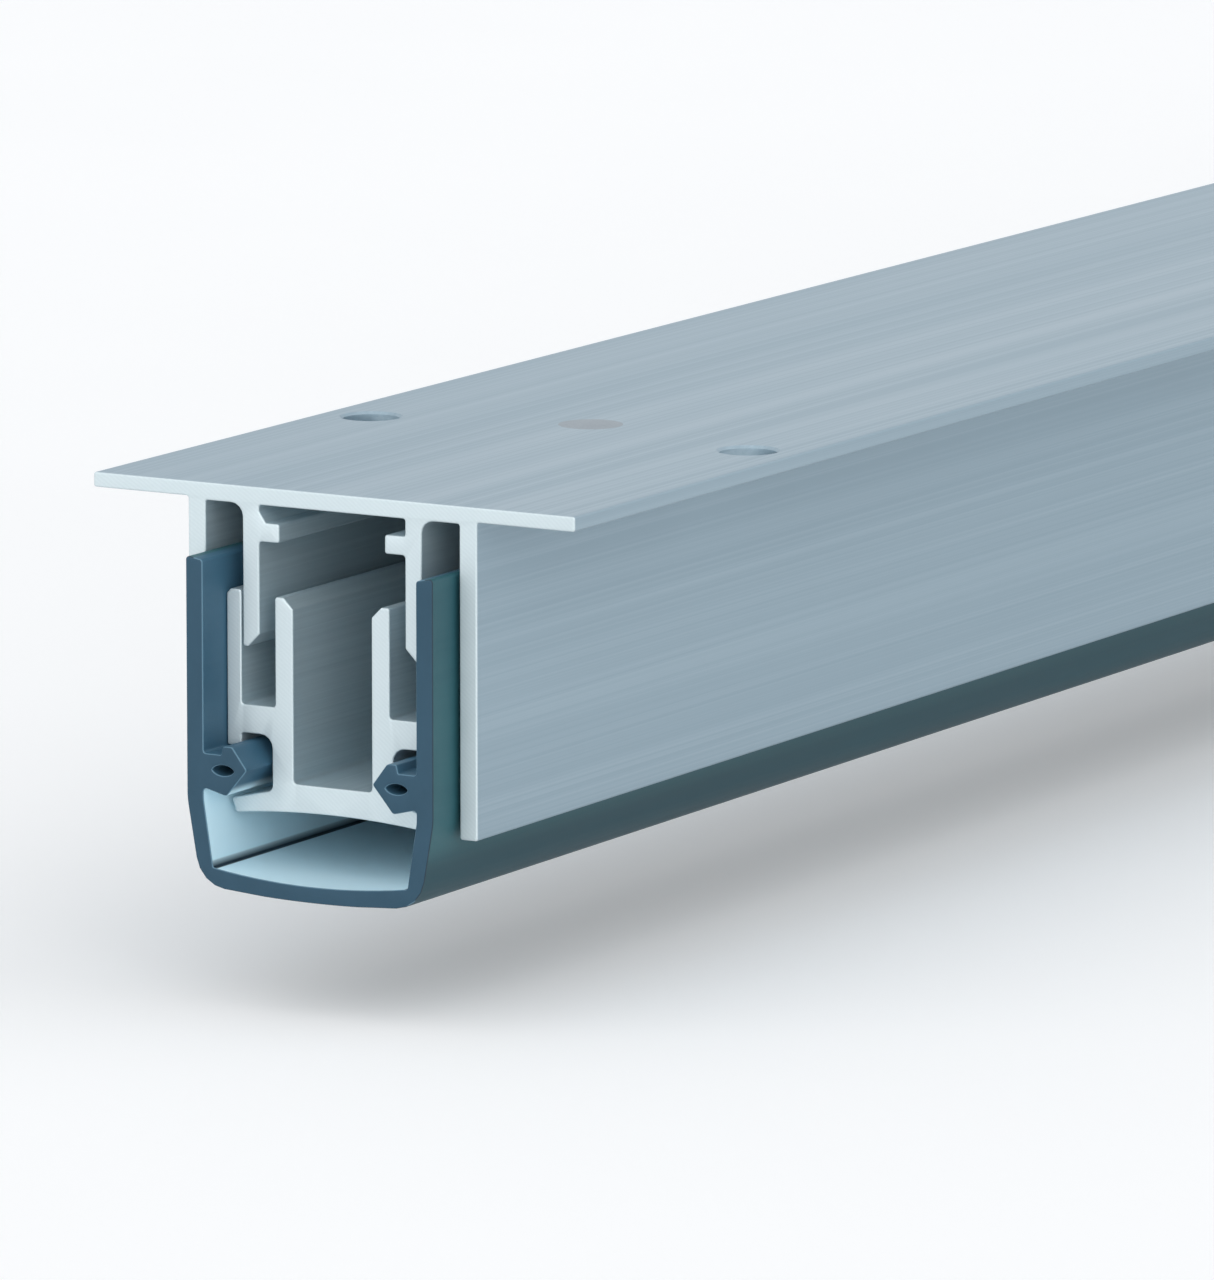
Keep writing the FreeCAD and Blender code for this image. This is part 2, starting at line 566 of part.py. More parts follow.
def make_push_rod():
    """The flat steel strip that joins the trigger to the sliding ends of the springs."""
    body = new_body("push_rod")
    start = f"({first_anchor} - Size.rod_tail)"
    side = "(Size.rod_width / 2)"
    sketch = new_sketch(body, "XY_Plane", "rod_outline")
    sketch.setExpression("AttachmentOffset.Base.z", rod_under)
    draw_outline(sketch, [
        (f"(-{side})", start), (side, start), (side, drive_outer), (f"(-{side})", drive_outer)])
    strip = extrude(body, "Pad", sketch, f"({rod_top} - {rod_under})", "One side")

    # The fixed blocks' bosses reach up through long slots, and slide past them.
    slots = new_sketch(body, "XY_Plane", "rod_slots")
    slots.setExpression("AttachmentOffset.Base.z", rod_top)
    slot_x = "(Size.boss_diameter / 2 + Size.boss_gap)"
    for anchor in anchor_places:
        low = f"({anchor} - Size.rod_lift_travel - Size.slot_play)"
        high = f"({anchor} + Size.rod_drop_travel + Size.slot_play)"
        round_end = f"({slot_x} + Size.slot_end_spare)"
        draw_outline(slots, [
            (slot_x, low), (slot_x, high, round_end), (f"(-{slot_x})", high),
            (f"(-{slot_x})", low, round_end)])
    slotted = extrude(body, "Pocket", slots, "Size.rod_slot_height", "One side")
    doc.recompute()
    if slotted.Shape.Volume >= strip.Shape.Volume:
        raise RuntimeError("the rod's slots cut nothing")

    # The rivets of the sliding blocks have their heads sunk in the strip.
    rivet_places = [("0", slide_place(anchor)) for anchor in anchor_places] + [("0", drive_middle)]
    sink_holes(body, slotted, rivet_places, rivet_bore, "Size.rivet_head", rod_top)
    return body


def block_section(top):
    """Right half of a block's section: wide between the lugs, narrow below them."""
    body_x = f"({lug_tip_x} - Size.block_side_gap)"
    return [(foot_x, block_under), (foot_x, lug_under), (body_x, lug_under), (body_x, top)]


def make_anchor_block(index, place):
    """A block that holds the fixed end of a leaf spring under the housing's roof."""
    body = new_body(f"anchor_block_{index}")
    half = block_section(lug_top)
    sketch = new_sketch(body, "XZ_Plane", f"anchor_section_{index}")
    draw_outline(sketch, half + mirrored(half))
    extrude(body, "Pad", sketch, "Size.block_length")
    boss_sketch = new_sketch(body, "XY_Plane", f"anchor_boss_{index}")
    boss_sketch.setExpression("AttachmentOffset.Base.z", lug_top)
    draw_circle(boss_sketch, "0", "0", "Size.boss_diameter")
    boss = extrude(body, "Pad", boss_sketch, "Size.rod_slot_height", "One side")
    doc.recompute()
    drill(body, boss, rivet_bore, roof_under, f"({roof_under} - {block_under})")
    move_along(body, place)
    return body


def make_slide_block(index, place):
    """A block under the rod that carries the sliding end of a leaf spring."""
    body = new_body(f"slide_block_{index}")
    half = block_section(rod_under)
    sketch = new_sketch(body, "XZ_Plane", f"slide_section_{index}")
    draw_outline(sketch, half + mirrored(half))
    block = extrude(body, "Pad", sketch, "Size.block_length")
    doc.recompute()
    drill(body, block, rivet_bore, rod_under, f"({rod_under} - {block_under})")
    move_along(body, place)
    return body


def make_rivet(label, place, top, end, tail=True):
    """A turned rivet with a sunk head. Its formed tail, where it has one, ends at the height end."""
    body = new_body(label)
    shank = "(Size.rivet_diameter / 2)"
    head = "(Size.rivet_head / 2)"
    tail_x = "(Size.rivet_tail / 2)"
    tail_top = f"({end} + Size.rivet_tail_height)"
    lower = [("0", end), (shank, end)]
    if tail:
        lower = [("0", end), (tail_x, end), (tail_x, tail_top), (shank, tail_top)]
    outline = lower + [(shank, f"({top} - ({head} - {shank}))"), (head, top), ("0", top)]
    sketch = new_sketch(body, "XZ_Plane", f"{label}_outline")
    draw_outline(sketch, outline)
    revolve(body, sketch)
    move_along(body, place)
    return body


def make_leaf_spring(index, anchor):
    """A bowed strip of spring steel: flat ends, two S-bends and a flat middle on its shoe."""
    body = new_body(f"leaf_spring_{index}")
    high = f"({block_under} - Size.spring_thickness / 2)"
    low = f"({shoe_top} + Size.spring_thickness / 2)"
    half_span = "(Size.spring_span / 2)"
    outer = f"({half_span} + Size.spring_tail)"
    bend_start = f"({half_span} - Size.spring_tail)"
    run = f"({bend_start} - Size.spring_seat)"
    middle = f"(({bend_start} + Size.spring_seat) / 2)"
    bow = f"(({run} ^ 2 + ({high} - {low}) ^ 2) / (4 * ({high} - {low})))"
    centre = f"(({high} + {low}) / 2)"
    path = new_sketch(body, "YZ_Plane", f"spring_path_{index}")
    draw_outline(path, [
        (f"(-{outer})", high),
        (f"(-{bend_start})", high, f"(-{bow})"),
        (f"(-{middle})", centre, bow),
        ("(-Size.spring_seat)", low),
        ("Size.spring_seat", low, bow),
        (middle, centre, f"(-{bow})"),
        (bend_start, high),
        (outer, high),
    ], closed=False)
    section = new_sketch(body, "XZ_Plane", f"spring_section_{index}")
    section.setExpression("AttachmentOffset.Base.z", outer)
    side = "(Size.spring_width / 2)"
    draw_outline(section, [
        (f"(-{side})", spring_under), (side, spring_under), (side, block_under), (f"(-{side})", block_under)])
    strip = body.newObject("PartDesign::AdditivePipe", f"spring_strip_{index}")
    strip.Profile = section
    strip.Spine = (path, [])
    doc.recompute()

    holes = new_sketch(body, "XY_Plane", f"spring_holes_{index}")
    for place in (f"(-{half_span})", "0", half_span):
        draw_circle(holes, "0", place, rivet_bore)
    punched = extrude(body, "Pocket", holes, "Size.housing_height", "One side")
    doc.recompute()
    if punched.Shape.Volume >= strip.Shape.Volume:
        raise RuntimeError(f"the holes of {body.Label} cut nothing")
    move_along(body, shoe_place(anchor))
    return body


def make_rail_shoe(index, anchor):
    """A moulded shoe in the rail's channel. The middle of a spring is riveted on its heel,
    and the rail hangs on a cross pin in the slot through its toe."""
    body = new_body(f"rail_shoe_{index}")
    heel = "(-Size.shoe_heel)"
    toe = "Size.shoe_toe"
    sketch = new_sketch(body, "YZ_Plane", f"shoe_side_{index}")
    draw_outline(sketch, [
        (heel, shoe_under),
        (toe, shoe_under),
        (toe, f"({shoe_top} - Size.shoe_round)"),
        (f"({toe} - Size.shoe_round)", shoe_top),
        (f"({heel} + Size.shoe_round / 2)", shoe_top),
        (heel, f"({shoe_top} - Size.shoe_round / 2)"),
    ])
    shoe = extrude(body, "Pad", sketch, "(Size.channel_width - Size.shoe_gap * 2)")
    slot_radius = "(Size.pin_diameter / 2 + Size.pin_gap)"
    slot_sketch = new_sketch(body, "YZ_Plane", f"shoe_slot_{index}")
    low = "(Size.pin_offset - Size.shoe_lift_travel - Size.pin_gap)"
    high = "(Size.pin_offset + Size.shoe_drop_travel + Size.pin_gap)"
    round_end = f"({slot_radius} + Size.slot_end_spare)"
    draw_outline(slot_sketch, [
        (low, f"({pin_level} - {slot_radius})"),
        (high, f"({pin_level} - {slot_radius})", round_end),
        (high, f"({pin_level} + {slot_radius})"),
        (low, f"({pin_level} + {slot_radius})", round_end),
    ])
    slotted = extrude(body, "Pocket", slot_sketch, "Size.channel_width")
    doc.recompute()
    if slotted.Shape.Volume >= shoe.Shape.Volume:
        raise RuntimeError(f"the slot of {body.Label} cuts nothing")
    drill(body, slotted, rivet_bore, shoe_top, "Size.shoe_rivet_depth + Size.rivet_gap")
    move_along(body, shoe_place(anchor))
    return body


def make_shoe_rivet(index, anchor):
    """A flat-headed rivet that holds the middle of a spring on its shoe."""
    body = new_body(f"shoe_rivet_{index}")
    shank = "(Size.rivet_diameter / 2)"
    head = "(Size.rivet_tail / 2)"
    end = f"({shoe_top} - Size.shoe_rivet_depth)"
    seat = f"({shoe_top} + Size.spring_thickness)"
    crown = f"({seat} + Size.rivet_tail_height)"
    sketch = new_sketch(body, "XZ_Plane", f"shoe_rivet_outline_{index}")
    draw_outline(sketch, [
        ("0", end), (shank, end), (shank, seat), (head, seat), (head, crown), ("0", crown)])
    revolve(body, sketch)
    move_along(body, shoe_place(anchor))
    return body


def make_shoe_pin(index, anchor):
    """A steel cross pin, pressed through both walls of the rail's channel."""
    pin = doc.addObject("Part::Cylinder", f"shoe_pin_{index}")
    pin.Label = f"shoe_pin_{index}"
    half_pin = f"({groove_x} - Size.pin_set_back)"
    pin.setExpression("Radius", "Size.pin_diameter / 2")
    pin.setExpression("Height", f"{half_pin} * 2")
    pin.Placement.Rotation = FreeCAD.Rotation(FreeCAD.Vector(0, 1, 0), 90)
    pin.setExpression("Placement.Base.x", f"-{half_pin}")
    pin.setExpression("Placement.Base.y", pin_place(anchor))
    pin.setExpression("Placement.Base.z", pin_level)
    return pin


def make_trigger_guide():
    """The block in the housing's end that guides the spindle. Its neck passes the lugs."""
    body = new_body("trigger_guide")
    side = f"({leg_inner_x} - Size.guide_side_gap)"
    neck = f"({lug_tip_x} - Size.block_side_gap)"
    shoulder = f"({lug_under} - Size.guide_top_gap)"
    half = [
        (f"({side} - Size.guide_chamfer)", guide_under),
        (side, f"({guide_under} + Size.guide_chamfer)"),
        (side, shoulder),
        (neck, shoulder),
        (neck, roof_under),
    ]
    sketch = new_sketch(body, "XZ_Plane", "guide_section")
    draw_outline(sketch, half + mirrored(half))
    extrude(body, "Pad", sketch, "Size.guide_length")
    bore_sketch = new_sketch(body, "XZ_Plane", "guide_bore")
    draw_circle(bore_sketch, "0", spindle_level, guide_bore)
    bored = extrude(body, "Pocket", bore_sketch, "Size.guide_length")
    doc.recompute()
    drill(body, bored, rivet_bore, roof_under, f"({roof_under} - {guide_rivet_end} + Size.rivet_gap)")
    move_along(body, guide_rivet_place)
    return body


def make_drive_block():
    """The block on the rod's end, with the thread that takes the spindle."""
    body = new_body("drive_block")
    thread = "(Size.spindle_diameter + Size.thread_gap * 2)"
    under = f"({spindle_level} - {thread} / 2 - Size.drive_block_wall)"
    half = block_section(rod_under)
    half[0] = (foot_x, under)
    sketch = new_sketch(body, "XZ_Plane", "drive_section")
    draw_outline(sketch, half + mirrored(half))
    extrude(body, "Pad", sketch, "Size.drive_block_length")
    thread_sketch = new_sketch(body, "XZ_Plane", "drive_thread")
    draw_circle(thread_sketch, "0", spindle_level, thread)
    threaded = extrude(body, "Pocket", thread_sketch, "Size.drive_block_length")
    doc.recompute()
    drill(body, threaded, rivet_bore, rod_under, f"({rod_under} - {drive_rivet_end} + Size.rivet_gap)")
    move_along(body, drive_middle)
    return body


def make_adjusting_spindle():
    """The threaded spindle, with a head that the button encloses and a hex socket."""
    body = new_body("adjusting_spindle")
    shank = "(Size.spindle_diameter / 2)"
    head = "(Size.head_diameter / 2)"
    start = f"({drive_inner} + Size.adjust_in)"
    head_start = f"({button_inner} + Size.button_neck + Size.head_gap)"
    head_end = f"({head_start} + Size.head_length)"
    sketch = new_sketch(body, "XY_Plane", "spindle_outline")
    draw_outline(sketch, [
        ("0", start),
        (f"({shank} - Size.spindle_point)", start),
        (shank, f"({start} + Size.spindle_point)"),
        (shank, head_start),
        (head, head_start),
        (head, head_end),
        ("0", head_end),
    ])
    turned = revolve(body, sketch)
    socket = new_sketch(body, "XZ_Plane", "spindle_socket")
    socket.setExpression("AttachmentOffset.Base.z", f"-{head_end}")
    corner = "(Size.key_width / 2 / cos(30))"
    flat = "(Size.key_width / 2)"
    draw_outline(socket, [
        (flat, f"(-{corner} / 2)"), (flat, f"({corner} / 2)"), ("0", corner),
        (f"(-{flat})", f"({corner} / 2)"), (f"(-{flat})", f"(-{corner} / 2)"), ("0", f"(-{corner})")])
    keyed = extrude(body, "Pocket", socket, "Size.key_depth", "One side", True)
    doc.recompute()
    if keyed.Shape.Volume >= turned.Shape.Volume:
        raise RuntimeError("the spindle's socket cuts nothing")
    body.setExpression("Placement.Base.z", spindle_level)
    return body


def make_trigger_button():
    """The moulded button that the frame presses in. It is snapped over the spindle's head."""
    body = new_body("trigger_button")
    shank = "(Size.spindle_diameter / 2 + Size.head_gap)"
    cavity = "(Size.head_diameter / 2 + Size.head_gap)"
    outer = "(Size.button_diameter / 2)"
    key_hole = "(Size.key_hole / 2)"
    end = f"({button_inner} + Size.button_length)"
    cavity_start = f"({button_inner} + Size.button_neck)"
    cavity_end = f"({cavity_start} + Size.head_length + Size.head_gap * 2)"
    sketch = new_sketch(body, "XY_Plane", "button_outline")
    draw_outline(sketch, [
        (shank, button_inner),
        (outer, button_inner),
        (outer, f"({end} - Size.button_chamfer)"),
        (f"({outer} - Size.button_chamfer)", end),
        (key_hole, end),
        (key_hole, cavity_end),
        (cavity, cavity_end),
        (cavity, cavity_start),
        (shank, cavity_start),
    ])
    revolve(body, sketch)
    body.setExpression("Placement.Base.z", spindle_level)
    return body


pieces = [make_housing(), make_carrier_rail(), make_seal_lip(), make_push_rod()]
for index, anchor in enumerate(anchor_places, 1):
    slide = slide_place(anchor)
    tail_end = f"({spring_under} - Size.rivet_tail_height)"
    pieces.append(make_anchor_block(index, anchor))
    pieces.append(make_rivet(f"anchor_rivet_{index}", anchor, "0", tail_end))
    pieces.append(make_leaf_spring(index, anchor))
    pieces.append(make_rail_shoe(index, anchor))
    pieces.append(make_shoe_rivet(index, anchor))
    pieces.append(make_shoe_pin(index, anchor))
    pieces.append(make_slide_block(index, slide))
    pieces.append(make_rivet(f"slide_rivet_{index}", slide, rod_top, tail_end))
pieces.append(make_trigger_guide())
pieces.append(make_rivet("guide_rivet", guide_rivet_place, "0", guide_rivet_end, tail=False))
pieces.append(make_drive_block())
pieces.append(make_rivet("drive_rivet", drive_middle, rod_top, drive_rivet_end, tail=False))
pieces.append(make_adjusting_spindle())
pieces.append(make_trigger_button())
doc.recompute()

for item in doc.Objects:
    if "Invalid" in item.State or "Error" in item.State:
        raise RuntimeError(f"{item.Label} failed: {item.State}")
for piece in pieces:
    if piece.Shape.isNull() or not piece.Shape.isValid() or len(piece.Shape.Solids) != 1:
        raise RuntimeError(f"{piece.Label} is not one valid solid")

os.makedirs("parts", exist_ok=True)
for piece in pieces:
    piece.Shape.exportStep(f"parts/{piece.Label}.step")
    box = piece.Shape.BoundBox
    print(f"{piece.Label}: {piece.Shape.Volume:.1f} mm3, x {box.XMin:.2f} {box.XMax:.2f}, "
          f"y {box.YMin:.2f} {box.YMax:.2f}, z {box.ZMin:.2f} {box.ZMax:.2f}")
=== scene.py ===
import math

import bpy
import numpy as np
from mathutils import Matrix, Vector
from mathutils.geometry import delaunay_2d_cdt


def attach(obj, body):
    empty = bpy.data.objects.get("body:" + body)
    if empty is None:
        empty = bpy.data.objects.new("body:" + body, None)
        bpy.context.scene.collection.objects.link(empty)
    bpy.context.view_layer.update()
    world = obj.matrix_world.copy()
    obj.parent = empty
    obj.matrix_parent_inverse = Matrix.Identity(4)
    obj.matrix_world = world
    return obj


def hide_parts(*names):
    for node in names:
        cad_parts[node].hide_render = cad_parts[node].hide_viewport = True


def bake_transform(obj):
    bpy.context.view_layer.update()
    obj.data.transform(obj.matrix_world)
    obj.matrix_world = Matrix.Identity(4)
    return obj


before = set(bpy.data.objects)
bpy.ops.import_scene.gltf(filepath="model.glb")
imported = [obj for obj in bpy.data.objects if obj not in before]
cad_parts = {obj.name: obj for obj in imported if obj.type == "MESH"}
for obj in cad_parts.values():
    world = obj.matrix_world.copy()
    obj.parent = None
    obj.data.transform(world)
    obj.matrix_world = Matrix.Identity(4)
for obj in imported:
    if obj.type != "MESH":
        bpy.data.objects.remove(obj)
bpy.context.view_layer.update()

# The housing is one aluminium extrusion, sawn to length and left as it comes from the
# press: fine lines run along it where the die dragged, and the sawn ends are brighter.
# Screws through the flange hold it up, and rivets hold the parts inside.
MILLIMETRE = 0.001
TINY = 1e-6  # in millimetres: two places nearer than this are the same
HOUSING_HALF_LENGTH = 167.5
HOUSING_EDGE = 0.08
HOUSING_SECTION = [  # right half from the top, down the side wall, in to the lug: x, z, radius
    (12.5, 0, 0.12), (12.5, -0.68, 0.12), (7.5, -0.68, 0.12), (7.5, -15, 0.12),
    (6.6, -15, 0.12), (6.6, -0.8, 0.12), (4.65, -0.8, 0.6), (4.65, -7.25, 0.12),
    (4.4, -7.25, 0.12), (3.8, -6.65, 0.15), (3.8, -2.45, 0.15), (2.75, -2.45, 0.12),
    (2.75, -1.6, 0.12), (3.8, -1.6, 0.12), (3.8, -0.8, 0.12)]
HOUSING_GUSSET = [(-3.8, -0.8, 0.12), (-3.8, -1.09, 0.12), (-3.45, -1.6, 0.12)]
SCREW_HOLES = [(side * 10.0, y) for side in (-1, 1) for y in (-147.5, 0.0, 147.5)]
SCREW_CUT = [  # the countersunk hole from below the flange up: z, radius
    (-1.5, 1.35), (-0.78, 1.35), (-0.68, 1.42), (-0.55, 1.35), (-0.12, 1.35), (0.02, 1.5),
    (0.5, 1.98)]
RIVET_HOLES = [(0.0, y) for y in (-144.5, -19.5, 158.5)]
RIVET_CUT = [(-1.5, 1.03), (-0.47, 1.03), (0.03, 1.53), (0.5, 2.0)]
HOLE_SIDES = 40
SIDE_TINT = (0.333, 0.431, 0.495, 1)
SIDE_TINT_DULL = (0.277, 0.369, 0.430, 1)
# painted light: a paler copy of the metal, for inside the housing and the whole rail
HOLLOW_PAINTED_LIGHT_TINT = (0.57, 0.69, 0.74, 1)
HOLLOW_PAINTED_LIGHT_TINT_DULL = (0.47, 0.585, 0.635, 1)
PAINTED_LIGHT_HALF_WIDTH, PAINTED_LIGHT_TOP = 7.05, -0.72
SAWN_TINT = (0.63, 0.715, 0.74, 1)
SAWN_TINT_DULL = (0.55, 0.635, 0.665, 1)
SAWN_EDGE = (0.09, 0.03)  # from the end: where the side's look starts to turn and has turned
SAW_CENTRE, SAW_RINGS = (0.085, 0.0, 0.12), 1900.0  # in metres, and rings by the metre
DIE_LINE_DEPTH = 0.012


def rounded(corners, steps=4, most_of_side=0.45):
    """A closed outline with rounded corners. corners are rows of x, z and radius r. A corner K
    that turns by t gives way to an arc from S to E, each r tan(t / 2) from K along a side:
    ((1-u)^2 S + 2u(1-u) cos(t/2) K + u^2 E) / ((1-u)^2 + 2u(1-u) cos(t/2) + u^2), u 0 to 1."""
    corners = np.array(corners, float)
    point, radius = corners[:, :2], corners[:, 2:]
    come = point - np.roll(point, 1, 0)
    leave = np.roll(point, -1, 0) - point
    come_length = np.linalg.norm(come, axis=1, keepdims=True)
    leave_length = np.linalg.norm(leave, axis=1, keepdims=True)
    come, leave = come / come_length, leave / leave_length
    half_cosine = np.sqrt((1 + (come * leave).sum(1, keepdims=True)) / 2)
    half_tangent = np.sqrt(np.clip(1 - half_cosine**2, 0, 1)) / half_cosine
    reach = np.minimum(radius * half_tangent,
                       most_of_side * np.minimum(come_length, leave_length))
    start, end = point - come * reach, point + leave * reach
    u = np.linspace(0, 1, steps + 1)[None, :, None]
    to_start, to_end = (1 - u)**2, u**2
    to_corner = 2 * u * (1 - u) * half_cosine[:, None]
    arc = to_start * start[:, None] + to_corner * point[:, None] + to_end * end[:, None]
    points = (arc / (to_start + to_corner + to_end)).reshape(-1, 2)
    apart = np.linalg.norm(points - np.roll(points, 1, 0), axis=1) > TINY
    return points[apart]


def turned_to(outline, anticlockwise):
    """The outline, run anticlockwise in x, z or the other way, by the sign of its area."""
    x, z = outline.T
    area = (x * np.roll(z, -1) - np.roll(x, -1) * z).sum()
    return outline if (area > 0) == anticlockwise else outline[::-1]


def new_piece(name, points, faces):
    """A mesh piece of points in millimetres."""
    mesh = bpy.data.meshes.new(name)
    mesh.from_pydata((np.asarray(points) * MILLIMETRE).tolist(), [], faces)
    piece = bpy.data.objects.new(name, mesh)
    bpy.context.scene.collection.objects.link(piece)
    return piece


def shaded(piece, crease=38):
    """Smooth the piece but for edges sharper than crease degrees, and keep its flats flat."""
    piece.data.shade_smooth()
    piece.data.set_sharp_from_angle(angle=math.radians(crease))
    piece.modifiers.new("even shading", "WEIGHTED_NORMAL").keep_sharp = True
    return piece


def extruded(name, outlines, half_length, edge, edge_steps=3):
    """Outlines carried along Y: the first bounds the metal, and the others its hollows. At the
    angle a from 0 to 90 degrees round an end's broken edge of radius e, a point stands
    e(1 - sin a) short of the end's plane and e(1 - cos a) into the metal from its outline, along
    the mean of its two sides' normals. Triangles on the outlines' own points close each end
    flat. Those with all three corners on one hollow lie in it, and are left out."""
    angle = np.linspace(0, math.pi / 2, edge_steps + 1)
    near = np.stack([-half_length + edge * (1 - np.sin(angle)),
                     edge * (1 - np.cos(angle))], 1)[::-1]
    stations = np.concatenate([near, (near * [-1, 1])[::-1]])
    points, quads, rims, count = [], [], ([], []), 0
    for number, outline in enumerate(outlines):
        outline = turned_to(outline, anticlockwise=number == 0)
        come = outline - np.roll(outline, 1, 0)
        leave = np.roll(outline, -1, 0) - outline
        come /= np.linalg.norm(come, axis=1, keepdims=True)
        leave /= np.linalg.norm(leave, axis=1, keepdims=True)
        inward = (come + leave)[:, ::-1] * [-1, 1]
        inward /= 1 + (come * leave).sum(1, keepdims=True)
        section = outline[None] + inward[None] * stations[:, 1, None, None]
        y = np.broadcast_to(stations[:, 0, None], section.shape[:2])
        points.append(np.stack([section[..., 0], y, section[..., 1]], 2).reshape(-1, 3))
        size = len(outline)
        row = count + np.arange(len(stations) - 1)[:, None] * size
        here, beside = row + np.arange(size), row + (np.arange(size) + 1) % size
        quads.append(np.stack([here, here + size, beside + size, beside], 2).reshape(-1, 4))
        rims[0].append(here[0])
        rims[1].append(here[-1] + size)
        count += size * len(stations)
    points = np.concatenate(points)
    ends = []
    for far, rim in enumerate(rims):
        order = np.concatenate(rim)
        flat = points[order][:, [0, 2]]
        sizes = [len(loop) for loop in rim]
        loops = np.split(np.arange(len(order)), np.cumsum(sizes)[:-1])
        sides = np.concatenate([np.stack([loop, np.roll(loop, -1)], 1) for loop in loops])
        _, _, triangles, source, _, _ = delaunay_2d_cdt(
            flat.tolist(), sides.tolist(), [], 1, TINY / 10)
        corner = np.array(source)[:, 0][np.array(triangles)]
        owner = np.repeat(np.arange(len(rim)), sizes)[corner]
        in_hollow = (owner > 0).all(1) & (owner == owner[:, :1]).all(1)
        corner = corner[~in_hollow]
        first, second, third = (flat[corner[:, i]] for i in range(3))
        keep = (np.cross(second - first, third - first) > 0) != bool(far)
        ends.append(order[np.where(keep[:, None], corner, corner[:, ::-1])])
    return new_piece(name, points, np.concatenate(quads).tolist() + np.concatenate(ends).tolist())


def turned(name, profile, centre, axis, sides=48, twist=None, ring=False):
    """A profile of (along, radius) rows turned about an axis: the point at angle t is centre +
    along x axis + radius (cos t x first + sin t x second). It closes in a point at each end, or
    as a ring on itself. twist(along, radius, t) gives a shape that changes round the piece."""
    profile = np.asarray(profile, float)
    angle = np.arange(sides) * 2 * math.pi / sides
    axis = np.array(axis, float)
    first = np.array([1.0, 0, 0]) if abs(axis[0]) < 0.5 else np.array([0, 1.0, 0])
    second = np.cross(axis, first)
    along = np.broadcast_to(profile[:, :1], (len(profile), sides))
    radius = np.broadcast_to(profile[:, 1:2], along.shape)
    if twist is not None:
        along, radius = twist(along, radius, angle[None])
    around = np.cos(angle)[None, :, None] * first + np.sin(angle)[None, :, None] * second
    points = np.array(centre) + along[..., None] * axis + radius[..., None] * around
    count = len(profile)
    row = np.arange(count if ring else count - 1)[:, None] * sides
    above = (row + sides) % (count * sides)
    column = np.arange(sides)
    beside = (column + 1) % sides
    quads = np.stack([row + column, row + beside, above + beside, above + column], 2)
    points, quads = points.reshape(-1, 3), quads.reshape(-1, 4).tolist()
    if ring:
        return new_piece(name, points, quads)
    poles = np.array(centre) + profile[[0, -1], :1] * axis
    last = (count - 1) * sides
    start = np.stack([beside, column, np.full(sides, count * sides)], 1)
    end = np.stack([last + column, last + beside, np.full(sides, count * sides + 1)], 1)
    return new_piece(name, np.concatenate([points, poles]), quads + start.tolist() + end.tolist())


def bored(piece, cutters):
    """Cut all the cutters out of a piece at once and leave it as plain mesh."""
    together = bpy.data.collections.new("cutters")
    for cutter in cutters:
        together.objects.link(cutter)
    cut = piece.modifiers.new("holes", "BOOLEAN")
    cut.operation, cut.solver, cut.operand_type = "DIFFERENCE", "EXACT", "COLLECTION"
    cut.collection = together
    result = piece.evaluated_get(bpy.context.evaluated_depsgraph_get())
    finished = bpy.data.meshes.new_from_object(result)
    piece.modifiers.clear()
    piece.data = finished
    for cutter in cutters:
        bpy.data.objects.remove(cutter)
    bpy.data.collections.remove(together)


class Field:
    """A socket in a finish. Arithmetic on it adds the Math node for that operation."""

    def __init__(self, finish, socket):
        self.finish, self.socket = finish, socket

    def math(self, operation, first, second):
        return self.finish.node("ShaderNodeMath", {"operation": operation}, {0: first, 1: second})

    def __add__(self, other):
        return self.math("ADD", self, other)

    def __sub__(self, other):
        return self.math("SUBTRACT", self, other)

    def __rsub__(self, other):
        return self.math("SUBTRACT", other, self)

    def __mul__(self, other):
        return self.math("MULTIPLY", self, other)

    def __abs__(self):
        return self.math("ABSOLUTE", self, 0.0)

    __radd__, __rmul__ = __add__, __mul__


